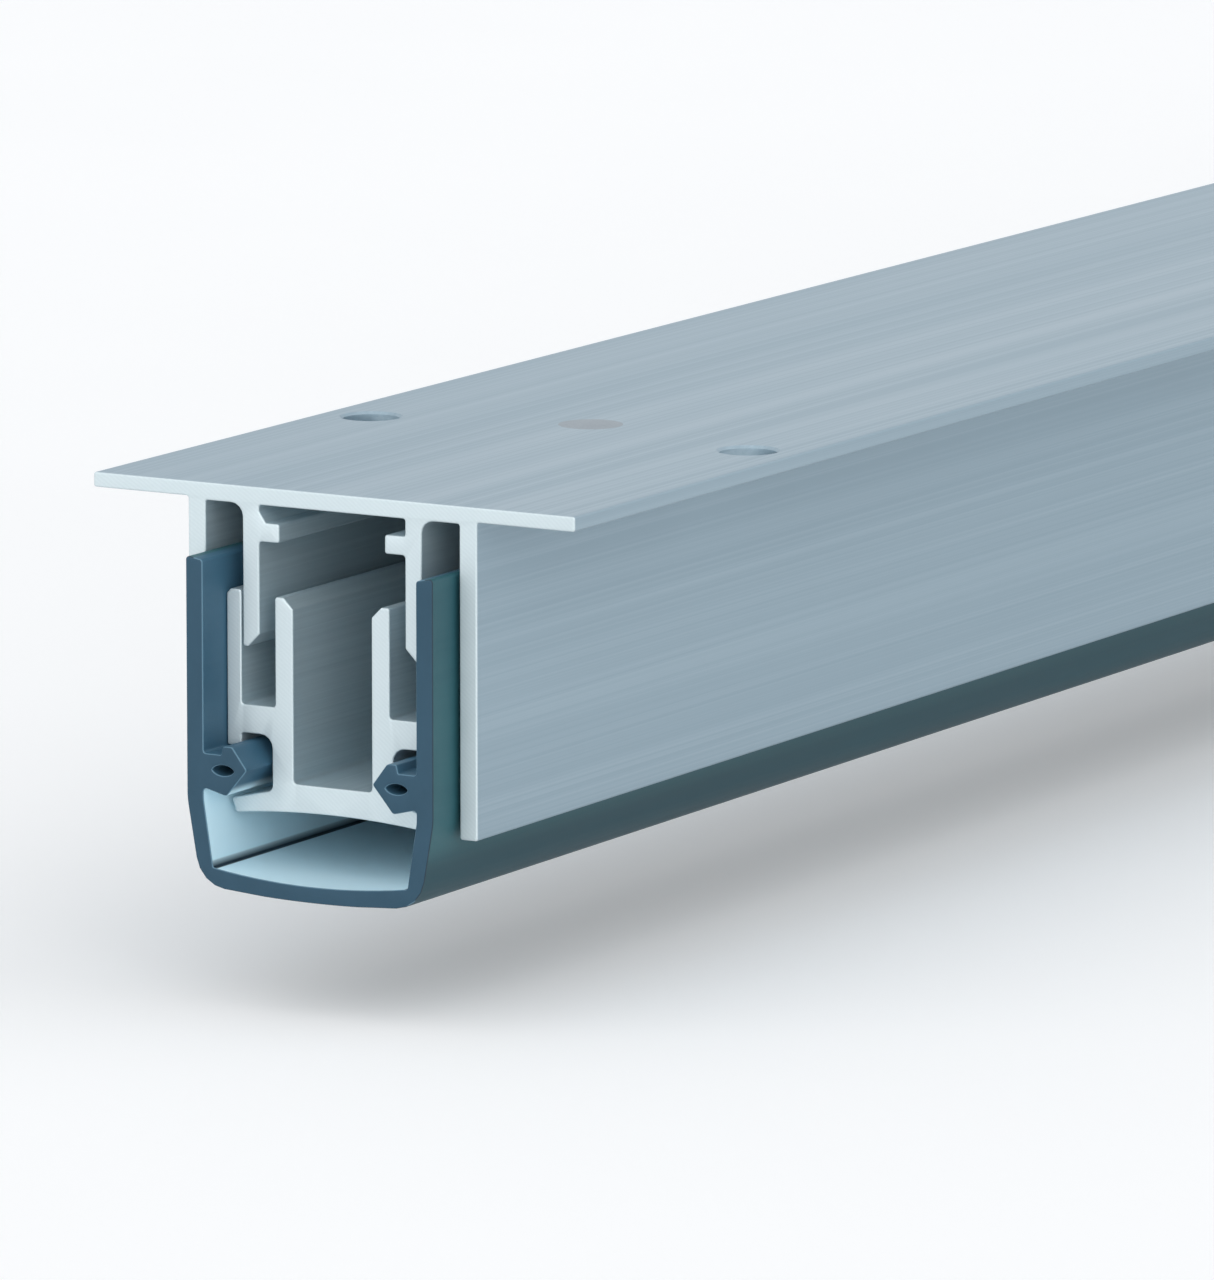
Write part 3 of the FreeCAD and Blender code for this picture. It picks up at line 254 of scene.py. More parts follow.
class Finish:
    """A material on one Principled shader. Plain values are set on the shader's own sockets."""

    def __init__(self, name, **plain):
        self.material = bpy.data.materials.new(name)
        self.material.use_nodes = True
        self.tree = self.material.node_tree
        self.shader = self.tree.nodes["Principled BSDF"]
        for socket, value in plain.items():
            self.shader.inputs[socket.replace("_", " ")].default_value = value

    def node(self, kind, settings=None, inputs=None, output=0):
        """Add a node: its settings first, then a value or a field for each of its sockets."""
        node = self.tree.nodes.new(kind)
        for name, value in (settings or {}).items():
            setattr(node, name, value)
        for name, value in (inputs or {}).items():
            if isinstance(value, Field):
                self.tree.links.new(value.socket, node.inputs[name])
            else:
                node.inputs[name].default_value = value
        return Field(self, node.outputs[output])

    def feed(self, **fields):
        """Let fields drive the shader's sockets."""
        for socket, field in fields.items():
            self.tree.links.new(field.socket, self.shader.inputs[socket.replace("_", " ")])

    def place(self):
        """The piece's own coordinates, in metres."""
        return self.node("ShaderNodeTexCoord", output="Object")

    def along(self, axis):
        """One of the piece's own coordinates, in millimetres."""
        place = self.node("ShaderNodeSeparateXYZ", inputs={0: self.place()}, output=axis)
        return place * (1 / MILLIMETRE)

    def noise(self, stretch, detail=3.0, roughness=0.5):
        """Noise about 0.5. stretch is how many patches go to a millimetre on each axis."""
        spread = self.node("ShaderNodeMapping", inputs={
            "Vector": self.place(), "Scale": [patches / MILLIMETRE for patches in stretch]})
        return self.node("ShaderNodeTexNoise", inputs={
            "Vector": spread, "Scale": 1.0, "Detail": detail, "Roughness": roughness})

    def ramp(self, value, start, end):
        """0 at start, 1 at end, level beyond both and smooth between them."""
        return self.node("ShaderNodeMapRange", {"interpolation_type": "SMOOTHSTEP"}, {
            "Value": value, "From Min": start, "From Max": end})

    def mix(self, share, first, second):
        """The first colour where share is 0, the second where it is 1."""
        return self.node("ShaderNodeMix", {"data_type": "RGBA"}, {
            0: share, 6: first, 7: second}, output=2)

    def relief(self, height, depth):
        """Let a height from 0 to 1 raise the surface by up to depth, in millimetres."""
        self.feed(Normal=self.node("ShaderNodeBump", inputs={
            "Height": height, "Distance": depth * MILLIMETRE, "Strength": 1.0}))

    def on(self, *pieces):
        """Give the finish to new pieces, or to the slots of CAD nodes named by a string."""
        for piece in pieces:
            if isinstance(piece, str):
                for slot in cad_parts[piece].material_slots:
                    slot.material = self.material
            else:
                piece.data.materials.clear()
                piece.data.materials.append(self.material)


def mill_finish(name, half_length, die_lines):
    """Extruded aluminium. Sides: lines that the die drew along Y, as noise that is fine across
    and long along, painted paler inside and under the flange: painted light in the shaded hollow.
    Ends: the rings of a saw blade whose centre lies far outside the section."""
    finish = Finish(name, Metallic=0.55)
    end = finish.ramp(abs(finish.along("Y")), half_length - SAWN_EDGE[0],
                      half_length - SAWN_EDGE[1])
    # painted light: inside the housing, and over the whole rail, the metal takes a paler copy
    # standing in for light in the shaded hollow
    painted_light_in_hollow = (finish.ramp(PAINTED_LIGHT_HALF_WIDTH - abs(finish.along("X")), 0.0, 0.1)
                 * finish.ramp(PAINTED_LIGHT_TOP - finish.along("Z"), 0.0, 0.03))
    fine = finish.noise((die_lines, 0.004, die_lines), detail=4.0, roughness=0.65)
    broad = finish.noise((0.35, 0.002, 0.35), detail=2.0)
    cloud = finish.noise((0.09, 0.05, 0.09), detail=4.0)
    blade = finish.node("ShaderNodeMapping", inputs={
        "Vector": finish.place(), "Location": SAW_CENTRE, "Scale": (1.0, 0.0, 1.0)})
    rings = finish.node("ShaderNodeTexWave", {
        "wave_type": "RINGS", "rings_direction": "SPHERICAL"}, {
        "Vector": blade, "Scale": SAW_RINGS, "Distortion": 2.6, "Detail": 3.0,
        "Detail Scale": 0.5}, output=1)
    drawn = finish.ramp(fine * 0.6 + broad * 0.4, 0.36, 0.66)
    streak = drawn * 0.7 + cloud * 0.3
    side = finish.mix(painted_light_in_hollow, finish.mix(streak, SIDE_TINT_DULL, SIDE_TINT),
                      finish.mix(streak, HOLLOW_PAINTED_LIGHT_TINT_DULL, HOLLOW_PAINTED_LIGHT_TINT))
    sawn = finish.mix(rings * 0.3 + cloud * 0.7, SAWN_TINT_DULL, SAWN_TINT)
    finish.feed(Base_Color=finish.mix(end, side, sawn),
                Roughness=0.46 - drawn * 0.1 + end * 0.1 + cloud * 0.08)
    finish.relief(fine * (1 - end) * 0.8 + broad * (1 - end) * 0.6 + rings * end * 0.1,
                  DIE_LINE_DEPTH)
    return finish


# the gusset stands in for the left lug's first two corners
left_half = [(-x, z, radius) for x, z, radius in HOUSING_SECTION[::-1]]
housing_outline = rounded(HOUSING_SECTION + HOUSING_GUSSET + left_half[2:])
housing = extruded("housing_extrusion", [housing_outline], HOUSING_HALF_LENGTH, HOUSING_EDGE)
bored(housing, [turned(f"screw_cut_{i}", SCREW_CUT, (x, y, 0), (0, 0, 1), HOLE_SIDES)
                for i, (x, y) in enumerate(SCREW_HOLES)]
      + [turned(f"rivet_cut_{i}", RIVET_CUT, (x, y, 0), (0, 0, 1), HOLE_SIDES)
         for i, (x, y) in enumerate(RIVET_HOLES)])
mill_finish("housing mill finish", HOUSING_HALF_LENGTH, 5.0).on(shaded(housing))
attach(housing, "housing")
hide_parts("housing")

# The carrier rail is a second extrusion, of the same alloy. It slides up and down on the
# housing's two guide legs, which stand in its slots, and holds the lip in two side grooves.
# A notch milled in its far end makes room for the spindle's guide.
RAIL_HALF_LENGTH = 167.5
RAIL_EDGE = 0.07
RAIL_SECTION = [  # right half from the arched underside out, up the arm, and down the channel
    (5.05, -14.85, 0.12), (5.3, -14.2, 0.12), (3.15, -13.7, 0.3), (3.15, -11.2, 0.6),
    (4.75, -11.2, 0.12), (4.75, -11.8, 0.1), (5.5, -11.8, 0.1), (5.5, -4.9, 0.12),
    (5.3, -4.7, 0.12), (4.75, -4.7, 0.12), (4.75, -9.9, 0.15), (2.98, -9.9, 0.15),
    (2.98, -4.9, 0.12), (2.55, -4.9, 0.12), (2.05, -5.4, 0.12), (2.05, -13.3, 0.2)]
RAIL_ARCH_RISE = 0.3
GUIDE_NOTCH = ((-3.5, 150.0, -9.9), (3.5, 169.0, -4.0))
PIN_HOLES, PIN_LEVEL = (-94.3, 30.7), -12.1
PIN_CUT = [(-3.14, 0.615), (3.14, 0.615)]


def bow(start, end, rise, count):
    """Points on the parabola from start to end that stands rise above the straight line at its
    middle: z = line + 4 rise u (1 - u), for u from 0 to 1 without its ends. Rows of x, z, 0."""
    u = np.linspace(0, 1, count + 2)[1:-1]
    x = start[0] + (end[0] - start[0]) * u
    z = start[1] + (end[1] - start[1]) * u + 4 * rise * u * (1 - u)
    return [tuple(row) for row in np.stack([x, z, 0 * u], 1)]


def block_cutter(name, low, high):
    """A cutting block from low to high, in millimetres."""
    corners = np.array([[x, y, z] for x in (low[0], high[0]) for y in (low[1], high[1])
                        for z in (low[2], high[2])])
    faces = [(0, 1, 3, 2), (4, 6, 7, 5), (0, 4, 5, 1), (2, 3, 7, 6), (0, 2, 6, 4), (1, 5, 7, 3)]
    return new_piece(name, corners, faces)


left_half = [(-x, z, radius) for x, z, radius in RAIL_SECTION[::-1]]
arch = bow((-5.05, -14.85), (5.05, -14.85), RAIL_ARCH_RISE, 15)
rail_outline = rounded(RAIL_SECTION + left_half + arch)
rail = extruded("carrier_rail_extrusion", [rail_outline], RAIL_HALF_LENGTH, RAIL_EDGE)
bored(rail, [block_cutter("guide_cut", *GUIDE_NOTCH)]
      + [turned(f"pin_cut_{i}", PIN_CUT, (0, y, PIN_LEVEL), (1, 0, 0), 24)
         for i, y in enumerate(PIN_HOLES)])
mill_finish("rail mill finish", RAIL_HALF_LENGTH, 7.0).on(shaded(rail))
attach(rail, "rail")
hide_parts("carrier_rail")

# The lip is extruded silicone, cut off clean a little longer than the metal. A hollow arrow
# head on each leg snaps into the rail's groove, and the round bottom presses on the floor.
LIP_HALF_LENGTH = 169.5
LIP_EDGE = 0.06
LIP_SECTION = [  # right half from the outer bottom corner up, over the top, and down inside
    (5.72, -17.9, 1.6), (6.4, -14, 4.0), (6.4, -3.0, 0.15), (5.55, -3.15, 0.15),
    (5.55, -11.9, 0.15), (4.6, -11.9, 0.08), (4.5, -11.5, 0.08), (4.04, -11.5, 0.2),
    (3.28, -12.5, 0.12), (4.34, -13.75, 0.2), (5.55, -13.45, 0.15), (5.55, -14.0, 2.0),
    (5.07, -17.0625, 0.12)]
LIP_OUTER_SAG, LIP_INNER_SAG = -0.0765, -0.3875
CLIP_HOLLOW = (4.515, -12.6)
CLIP_HOLLOW_SIZE = (0.575, 0.25)
CLIP_HOLLOW_POINT, CLIP_HOLLOW_SIDES = 0.35, 20
LIP_CUT_TINT = (0.021, 0.069, 0.112, 1)
LIP_CUT_TINT_DULL = (0.016, 0.058, 0.095, 1)
LIP_SKIN_TINT = (0.030, 0.114, 0.134, 1)
LIP_SKIN_TINT_DULL = (0.022, 0.090, 0.112, 1)
# painted shade: the darker skin on the lip's underside
LIP_UNDERSIDE_PAINTED_SHADE_TINT = (0.006, 0.048, 0.066, 1)
# painted light: a lighter, bluer copy of the skin for the legs' inner faces
LIP_INNER_FACE_PAINTED_LIGHT_TINT = (0.052, 0.135, 0.205, 1)
LIP_INNER_FACE_PAINTED_LIGHT_TINT_DULL = (0.040, 0.112, 0.175, 1)
# painted highlight on the cut's inner corners
LIP_RIM_PAINTED_HIGHLIGHT_TINT = (0.16, 0.30, 0.40, 1)
# painted light: pale blue for the lip's shaded chamber
LIP_CHAMBER_PAINTED_LIGHT_TINT = (0.66, 0.88, 0.97, 1)
# painted shade, for the chamber's creases and the cut's outer corners
LIP_PAINTED_SHADE_TINT = (0.012, 0.026, 0.040, 1)
WALL_LEAN = 0.157  # the walls below the clips lean in by this for each millimetre down
CHAMBER_WALL, CHAMBER_TOP = 7.9, -13.2  # where the wall's line meets z = 0, and the top
CHAMBER_DEPTH, CHAMBER_FLOOR_RISE = 17.6, 0.0151  # in the middle, and for each x squared
CREASE_PLACE, CREASE_TOP = 5.0, -16.7
INSIDE_WALL, INSIDE_BOTTOM = 6.1, -14.0
UNDERSIDE_SHADE_TOP, UNDERSIDE_SHADE_DEPTH = -14.9, 1.5
OUTER_WALL, OUTER_LEANING_WALL, OUTER_BOTTOM = 5.95, 8.15, -17.75


def clip_hollow(side):
    """The hollow in a clip, on the side -1 or 1: x = centre + a cos t and z = centre + b sin t
    times |sin t| to the power of p, an ellipse drawn out to a point at its two ends."""
    t = np.arange(CLIP_HOLLOW_SIDES) * 2 * math.pi / CLIP_HOLLOW_SIDES
    x = side * CLIP_HOLLOW[0] + CLIP_HOLLOW_SIZE[0] * np.cos(t)
    z = CLIP_HOLLOW[1] + CLIP_HOLLOW_SIZE[1] * np.sin(t) * np.abs(np.sin(t))**CLIP_HOLLOW_POINT
    return np.stack([x, z], 1)


left_half = [(-x, z, radius) for x, z, radius in LIP_SECTION[::-1]]
outer_bottom = bow((-3.0, -18.1015), (3.0, -18.1015), LIP_OUTER_SAG, 9)
inner_bottom = bow((5.07, -17.0625), (-5.07, -17.0625), LIP_INNER_SAG, 13)
lip_outline = rounded(LIP_SECTION + inner_bottom + left_half + outer_bottom)
lip = extruded("seal_lip_extrusion", [lip_outline, clip_hollow(-1), clip_hollow(1)],
               LIP_HALF_LENGTH, LIP_EDGE)
silicone = Finish("satin silicone", Metallic=0.0, IOR=1.41)
x, y, z = (silicone.along(axis) for axis in "XYZ")
# painted light: the chamber is painted pale blue, standing in for light in its shaded hollow
# the chamber's mask follows its leaning walls and its bowed floor, 0.15 mm into the rubber
chamber_painted_light_mask = (silicone.ramp(z * WALL_LEAN + CHAMBER_WALL - abs(x), 0.0, 0.03)
              * silicone.ramp(CHAMBER_TOP - z, 0.0, 0.5)
              * silicone.ramp(z + CHAMBER_DEPTH - x * x * CHAMBER_FLOOR_RISE, 0.0, 0.04)
              * silicone.ramp(LIP_HALF_LENGTH - 0.05 - abs(y), 0.0, 0.03))
# painted shade along the chamber floor's creases at its inner bottom corners
crease = (silicone.ramp(abs(abs(x) - CREASE_PLACE), 0.16, 0.06)
          * silicone.ramp(CREASE_TOP - z, 0.0, 0.1) * chamber_painted_light_mask)
bloom = silicone.noise((0.12, 0.03, 0.12), detail=5.0, roughness=0.6)
drawn = silicone.noise((4.0, 0.01, 4.0), detail=3.0, roughness=0.6)
grain = silicone.noise((9.0, 9.0, 9.0), detail=3.0, roughness=0.6)
bloomed = silicone.ramp(bloom, 0.35, 0.65)
# below the housing's walls the skin is painted darker, painted shade on its underside, most where
# it bends round under
underside_painted_shade = silicone.ramp(UNDERSIDE_SHADE_TOP - z, 0.0, UNDERSIDE_SHADE_DEPTH) * (1 - bloomed * 0.2)
unshaded_skin = silicone.mix(bloomed, LIP_SKIN_TINT, LIP_SKIN_TINT_DULL)
# the legs' inner faces take a lighter, bluer copy of the skin; the lightening is painted light in
# the shaded gap by the rail
inside = (silicone.ramp(INSIDE_WALL - abs(x), 0.0, 0.2)
          * silicone.ramp(z, INSIDE_BOTTOM, INSIDE_BOTTOM + 0.3))
skin = silicone.mix(inside, silicone.mix(underside_painted_shade, unshaded_skin, LIP_UNDERSIDE_PAINTED_SHADE_TINT),
                    silicone.mix(bloomed, LIP_INNER_FACE_PAINTED_LIGHT_TINT, LIP_INNER_FACE_PAINTED_LIGHT_TINT_DULL))
cut = silicone.mix(bloomed, LIP_CUT_TINT, LIP_CUT_TINT_DULL)
from_end = LIP_HALF_LENGTH - abs(y)
skin_and_cut = silicone.mix(silicone.ramp(from_end, 0.06, 0.02), skin, cut)
# the cut's corners get a painted highlight on the inner side of the wall and painted shade on the
# outer
rim = silicone.ramp(from_end, 0.10, 0.07) * silicone.ramp(from_end, 0.004, 0.02)
outer_corner = (silicone.ramp(abs(x), OUTER_WALL, OUTER_WALL + 0.1)
                + silicone.ramp(OUTER_BOTTOM - z, 0.0, 0.1)
                + silicone.ramp(abs(x) - z * WALL_LEAN, OUTER_LEANING_WALL,
                                OUTER_LEANING_WALL + 0.1))
rim_highlight_and_shade = silicone.mix(outer_corner, LIP_RIM_PAINTED_HIGHLIGHT_TINT, LIP_PAINTED_SHADE_TINT)
with_painted_rim = silicone.mix(rim * 0.7, skin_and_cut, rim_highlight_and_shade)
silicone.feed(Base_Color=silicone.mix(crease, silicone.mix(chamber_painted_light_mask, with_painted_rim, LIP_CHAMBER_PAINTED_LIGHT_TINT),
                                      LIP_PAINTED_SHADE_TINT),
              Roughness=0.40 + bloom * 0.16 + drawn * 0.08)
silicone.relief(drawn * 0.7 + grain * 0.3, 0.010)
silicone.on(shaded(lip))
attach(lip, "rail")
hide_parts("seal_lip")

# The two leaf springs are bowed strips of tempered steel. Each is riveted to an anchor block
# and a slide block at its ends, with the rail's shoe in the middle: pushed, it bows down.
SPRING_MIDDLES = (-99.5, 25.5)
SPRING_REACH = 49.0
SPRING_TAIL = 8.0
SPRING_FLAT = 3.6
SPRING_TOP, SPRING_BOTTOM = -3.2, -10.6
SPRING_WIDTH, SPRING_THICKNESS, SPRING_ROUNDING = 3.2, 0.3, 0.08
SPRING_END_BREAK, SPRING_END_WIDTH = 0.06, 0.96  # the end's broken corners: length, and share
SPRING_TINT = (0.30, 0.31, 0.33, 1)
SPRING_TINT_BLUED = (0.20, 0.235, 0.30, 1)


def bowed_strip(name, middle, bend_steps=33):
    """A strip whose line is flat at its ends and middle. Each bend between them is two arcs of
    radius (run^2 + fall^2) / (4 fall) that meet halfway, so z falls by R - sqrt(R^2 - d^2) at
    d from the flat. Its section is a rectangle with rounded edges, square to the line."""
    fall = SPRING_TOP - SPRING_BOTTOM
    run = SPRING_REACH - SPRING_TAIL - SPRING_FLAT
    radius = (run**2 + fall**2) / (4 * fall)
    bend = SPRING_FLAT + np.linspace(0, run, bend_steps)
    side = np.concatenate([[0.0], bend, [SPRING_REACH - SPRING_END_BREAK, SPRING_REACH]])
    distance = np.clip(side - SPRING_FLAT, 0, run)
    low = radius - np.sqrt(radius**2 - np.minimum(distance, run / 2)**2)
    high = radius - np.sqrt(radius**2 - np.minimum(run - distance, run / 2)**2)
    rise = np.where(distance < run / 2, low, fall - high)
    line = np.stack([np.concatenate([-side[:0:-1], side]),
                     SPRING_BOTTOM + np.concatenate([rise[:0:-1], rise])], 1)
    slope = np.gradient(line[:, 1], line[:, 0])
    across = np.stack([-slope, np.ones_like(slope)], 1) / np.sqrt(1 + slope**2)[:, None]
    corners = np.array([[1, -1], [1, 1], [-1, 1], [-1, -1]]) / 2
    section = rounded(np.column_stack([corners * [SPRING_WIDTH, SPRING_THICKNESS],
                                       np.full(4, SPRING_ROUNDING)]), 3)
    size = len(section)
    width = np.ones(len(line))
    width[[0, -1]] = SPRING_END_WIDTH
    x = section[None, :, 0] * width[:, None]
    y = middle + line[:, None, 0] + across[:, None, 0] * section[None, :, 1]
    z = line[:, None, 1] + across[:, None, 1] * section[None, :, 1]
    points = np.stack([x, y, z], 2).reshape(-1, 3)
    row = np.arange(len(line) - 1)[:, None] * size
    here, beside = row + np.arange(size), row + (np.arange(size) + 1) % size
    quads = np.stack([here, here + size, beside + size, beside], 2).reshape(-1, 4).tolist()
    ends = [here[0].tolist(), (here[-1] + size)[::-1].tolist()]
    return new_piece(name, points, quads + ends)


spring_steel = Finish("tempered spring steel", Metallic=0.9)
tempering = spring_steel.noise((0.06, 0.05, 0.06), detail=3.0)
rolled = spring_steel.noise((6.0, 0.05, 6.0), detail=3.0, roughness=0.6)
blued = spring_steel.ramp(tempering, 0.4, 0.62)
spring_steel.feed(Base_Color=spring_steel.mix(blued, SPRING_TINT, SPRING_TINT_BLUED),
                  Roughness=0.28 + rolled * 0.16)
spring_steel.relief(rolled, 0.004)
for number, middle in enumerate(SPRING_MIDDLES, 1):
    spring = bowed_strip(f"leaf_spring_strip_{number}", middle)
    spring_steel.on(shaded(spring))
    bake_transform(spring)
    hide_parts(f"leaf_spring_{number}")

# The push rod is a strip of zinc-plated steel that slides in the slot over the housing's
# lugs, and the rail's shoes are folded from the same strip.
ZINC_TINT = (0.64, 0.65, 0.65, 1)
ZINC_TINT_DULL = (0.46, 0.49, 0.52, 1)
zinc = Finish("zinc plate", Metallic=0.85)
# the plating's grains each have a grey of their own, which a product turns a colour into
spangle = zinc.node("ShaderNodeTexVoronoi", {"feature": "F1"}, {
    "Vector": zinc.place(), "Scale": 900.0}, output="Color") * 1.0
patch = zinc.noise((0.2, 0.08, 0.2), detail=4.0)
scratches = zinc.noise((7.0, 0.1, 7.0), detail=3.0, roughness=0.7)
zinc.feed(Base_Color=zinc.mix(patch * 0.7 + spangle * 0.3, ZINC_TINT_DULL, ZINC_TINT),
          Roughness=0.26 + patch * 0.2 + scratches * 0.1)
zinc.relief(scratches, 0.004)
zinc.on("push_rod", "rail_shoe_1", "rail_shoe_2")

# Rivets and pins are turned from plain steel. The tool that closed them left rings on
# their ends.
STEEL_TINT = (0.36, 0.405, 0.44, 1)
STEEL_TINT_OILED = (0.25, 0.29, 0.325, 1)
turned_steel = Finish("turned steel", Metallic=0.95)
turning = turned_steel.noise((5.0, 5.0, 5.0), detail=4.0, roughness=0.6)
oil = turned_steel.noise((0.5, 0.5, 0.5), detail=3.0)
turned_steel.feed(Base_Color=turned_steel.mix(oil, STEEL_TINT_OILED, STEEL_TINT),
                  Roughness=0.38 + turning * 0.22)
turned_steel.relief(turning, 0.006)
turned_steel.on("anchor_rivet_1", "anchor_rivet_2", "slide_rivet_1", "slide_rivet_2",
                "shoe_rivet_1", "shoe_rivet_2", "shoe_pin_1", "shoe_pin_2", "guide_rivet",
                "drive_rivet")

# The anchor blocks, slide blocks and spindle guide are moulded in natural nylon. Rivets hold
# the anchors and the guide in the housing, and the slide blocks on the push rod.
NYLON_TINT = (0.76, 0.765, 0.73, 1)
NYLON_TINT_DULL = (0.70, 0.70, 0.65, 1)
nylon = Finish("natural nylon", Metallic=0.0, IOR=1.53)
flow = nylon.noise((0.08, 0.08, 0.08), detail=3.0)
mould = nylon.noise((12.0, 12.0, 12.0), detail=2.0, roughness=0.6)
nylon.feed(Base_Color=nylon.mix(nylon.ramp(flow, 0.3, 0.7), NYLON_TINT_DULL, NYLON_TINT),
           Roughness=0.34 + mould * 0.18)
nylon.relief(mould, 0.006)
nylon.on("anchor_block_1", "anchor_block_2", "slide_block_1", "slide_block_2", "trigger_guide")

# The drive block is sawn and milled from brass bar, riveted to the rod's end and tapped for
# the spindle.
BRASS_TINT = (0.68, 0.50, 0.22, 1)
BRASS_TINT_TARNISHED = (0.50, 0.35, 0.15, 1)
brass = Finish("milled brass", Metallic=1.0)
milling = brass.noise((0.4, 9.0, 9.0), detail=3.0, roughness=0.6)
tarnish = brass.noise((0.25, 0.25, 0.25), detail=3.0)
brass.feed(Base_Color=brass.mix(tarnish * 0.6 + milling * 0.4, BRASS_TINT, BRASS_TINT_TARNISHED),
           Roughness=0.25 + tarnish * 0.2 + milling * 0.1)
brass.relief(milling, 0.006)
brass.on("drive_block")

# The adjusting spindle is a zinc-plated screw, M3 by 0.5, whose head has a 2 mm hexagon
# socket. Turning it through the button's hole sets how far the button stands out.
SPINDLE_LEVEL = -5.2
SPINDLE_POINT = [(137.0, 0.7), (137.0, 1.15)]  # along the axis, radius
THREAD_START, THREAD_END = 137.4, 171.5
PITCH, THREAD_RADIUS, THREAD_DEPTH = 0.5, 1.5, 0.31
FLANK, CREST = 1.35, 0.12  # how steep the thread's flanks are, and how wide its crest
THREAD_STEPS, RUN_IN, RUN_OUT = 14, 0.6, 0.5  # steps to a turn, and where it fades
CORE_RADIUS = 1.2  # less than the thread's lowest radius, more than the point's
SOCKET_HALF_FLATS = 1.0
SPINDLE_HEAD = [  # from the thread over the head and down its socket: along the axis, radius
    (171.7, 1.32), (173.56, 1.32), (173.68, 1.44), (173.68, 2.05), (173.83, 2.2), (176.43, 2.2),
    (176.6, 2.12), (176.68, 1.95), (176.68, 1.3), (176.53, SOCKET_HALF_FLATS),
    (175.08, SOCKET_HALF_FLATS), (174.73, 0.3)]
SCREW_TINT = (0.63, 0.63, 0.61, 1)
SCREW_TINT_BLUED = (0.50, 0.53, 0.57, 1)


def spindle_shape(along, radius, angle):
    """Thread: on the shank the radius falls by the depth times a flat-topped triangle wave of
    (along / pitch - angle / 360), fading out at both ends. Socket: inside the head's opening
    the radius is that of a hexagon, half_flats / cos(angle from the middle of a flat)."""
    turn = (along / PITCH - angle / (2 * math.pi)) % 1
    wave = np.clip(np.abs(2 * turn - 1) * FLANK - CREST, 0, 1)
    fade = (np.clip((along - SPINDLE_POINT[0][0]) / RUN_IN, 0, 1)
            * np.clip((THREAD_END - along) / RUN_OUT, 0, 1))
    threaded = radius - THREAD_DEPTH * wave * fade
    flat = (angle + math.pi / 6) % (math.pi / 3) - math.pi / 6
    hexagon = SOCKET_HALF_FLATS / np.cos(flat) + 0 * along
    in_socket = np.abs(radius - SOCKET_HALF_FLATS) < TINY
    on_shank = ((radius > CORE_RADIUS) & (radius < THREAD_RADIUS + TINY)
                & (along < SPINDLE_HEAD[0][0]))
    return along, np.where(in_socket, hexagon, np.where(on_shank, threaded, radius))


shank = np.arange(THREAD_START, THREAD_END, PITCH / THREAD_STEPS)
shank = np.column_stack([shank, np.full(len(shank), THREAD_RADIUS)])
spindle_profile = np.concatenate([SPINDLE_POINT, shank, SPINDLE_HEAD])
spindle = turned("spindle_screw", spindle_profile, (0, 0, SPINDLE_LEVEL), (0, 1, 0), 36,
                 spindle_shape)
screw_zinc = Finish("screw zinc", Metallic=0.9)
blued = screw_zinc.noise((0.35, 0.2, 0.35), detail=3.0)
handled = screw_zinc.noise((3.0, 3.0, 3.0), detail=4.0, roughness=0.6)
screw_zinc.feed(Base_Color=screw_zinc.mix(blued, SCREW_TINT_BLUED, SCREW_TINT),
                Roughness=0.22 + handled * 0.2)
screw_zinc.relief(handled, 0.003)
screw_zinc.on(shaded(spindle, 50))
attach(spindle, "spindle")
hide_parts("adjusting_spindle")

# The trigger button is moulded in black nylon and snapped over the spindle's head. It is
# pressed in to lower the seal, and a key reaches the spindle through the hole in its face.
# Two shallow grooves run round it, to grip it by when the spindle is set by hand.
BUTTON_OUTLINE = [  # distance along the axis, radius, radius of the rounding
    (172.0, 1.58, 0.1), (172.0, 3.25, 0.25), (173.6, 3.25, 0.1), (173.75, 3.08, 0.1),
    (174.05, 3.08, 0.1), (174.2, 3.25, 0.1), (174.8, 3.25, 0.1), (174.95, 3.08, 0.1),
    (175.25, 3.08, 0.1), (175.4, 3.25, 0.1), (181.3, 3.25, 0.5), (182.0, 2.55, 0.5),
    (182.0, 1.68, 0.15), (181.8, 1.5, 0.15), (176.84, 1.5, 0.1), (176.84, 2.28, 0.15),
    (173.6, 2.28, 0.15), (173.6, 1.58, 0.1)]
BUTTON_TINT = (0.028, 0.030, 0.033, 1)
BUTTON_TINT_DARK = (0.014, 0.015, 0.017, 1)
button = turned("trigger_button_moulding", rounded(BUTTON_OUTLINE, 5), (0, 0, SPINDLE_LEVEL),
                (0, 1, 0), 72, ring=True)
black_nylon = Finish("button nylon", Metallic=0.0, IOR=1.53)
polish = black_nylon.noise((0.6, 0.6, 0.6), detail=4.0)
spark = black_nylon.noise((11.0, 11.0, 11.0), detail=2.0)
black_nylon.feed(Base_Color=black_nylon.mix(polish, BUTTON_TINT_DARK, BUTTON_TINT),
                 Roughness=0.36 + polish * 0.12 + spark * 0.1)
black_nylon.relief(spark, 0.010)
black_nylon.on(shaded(button, 50))
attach(button, "button")
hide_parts("trigger_button")

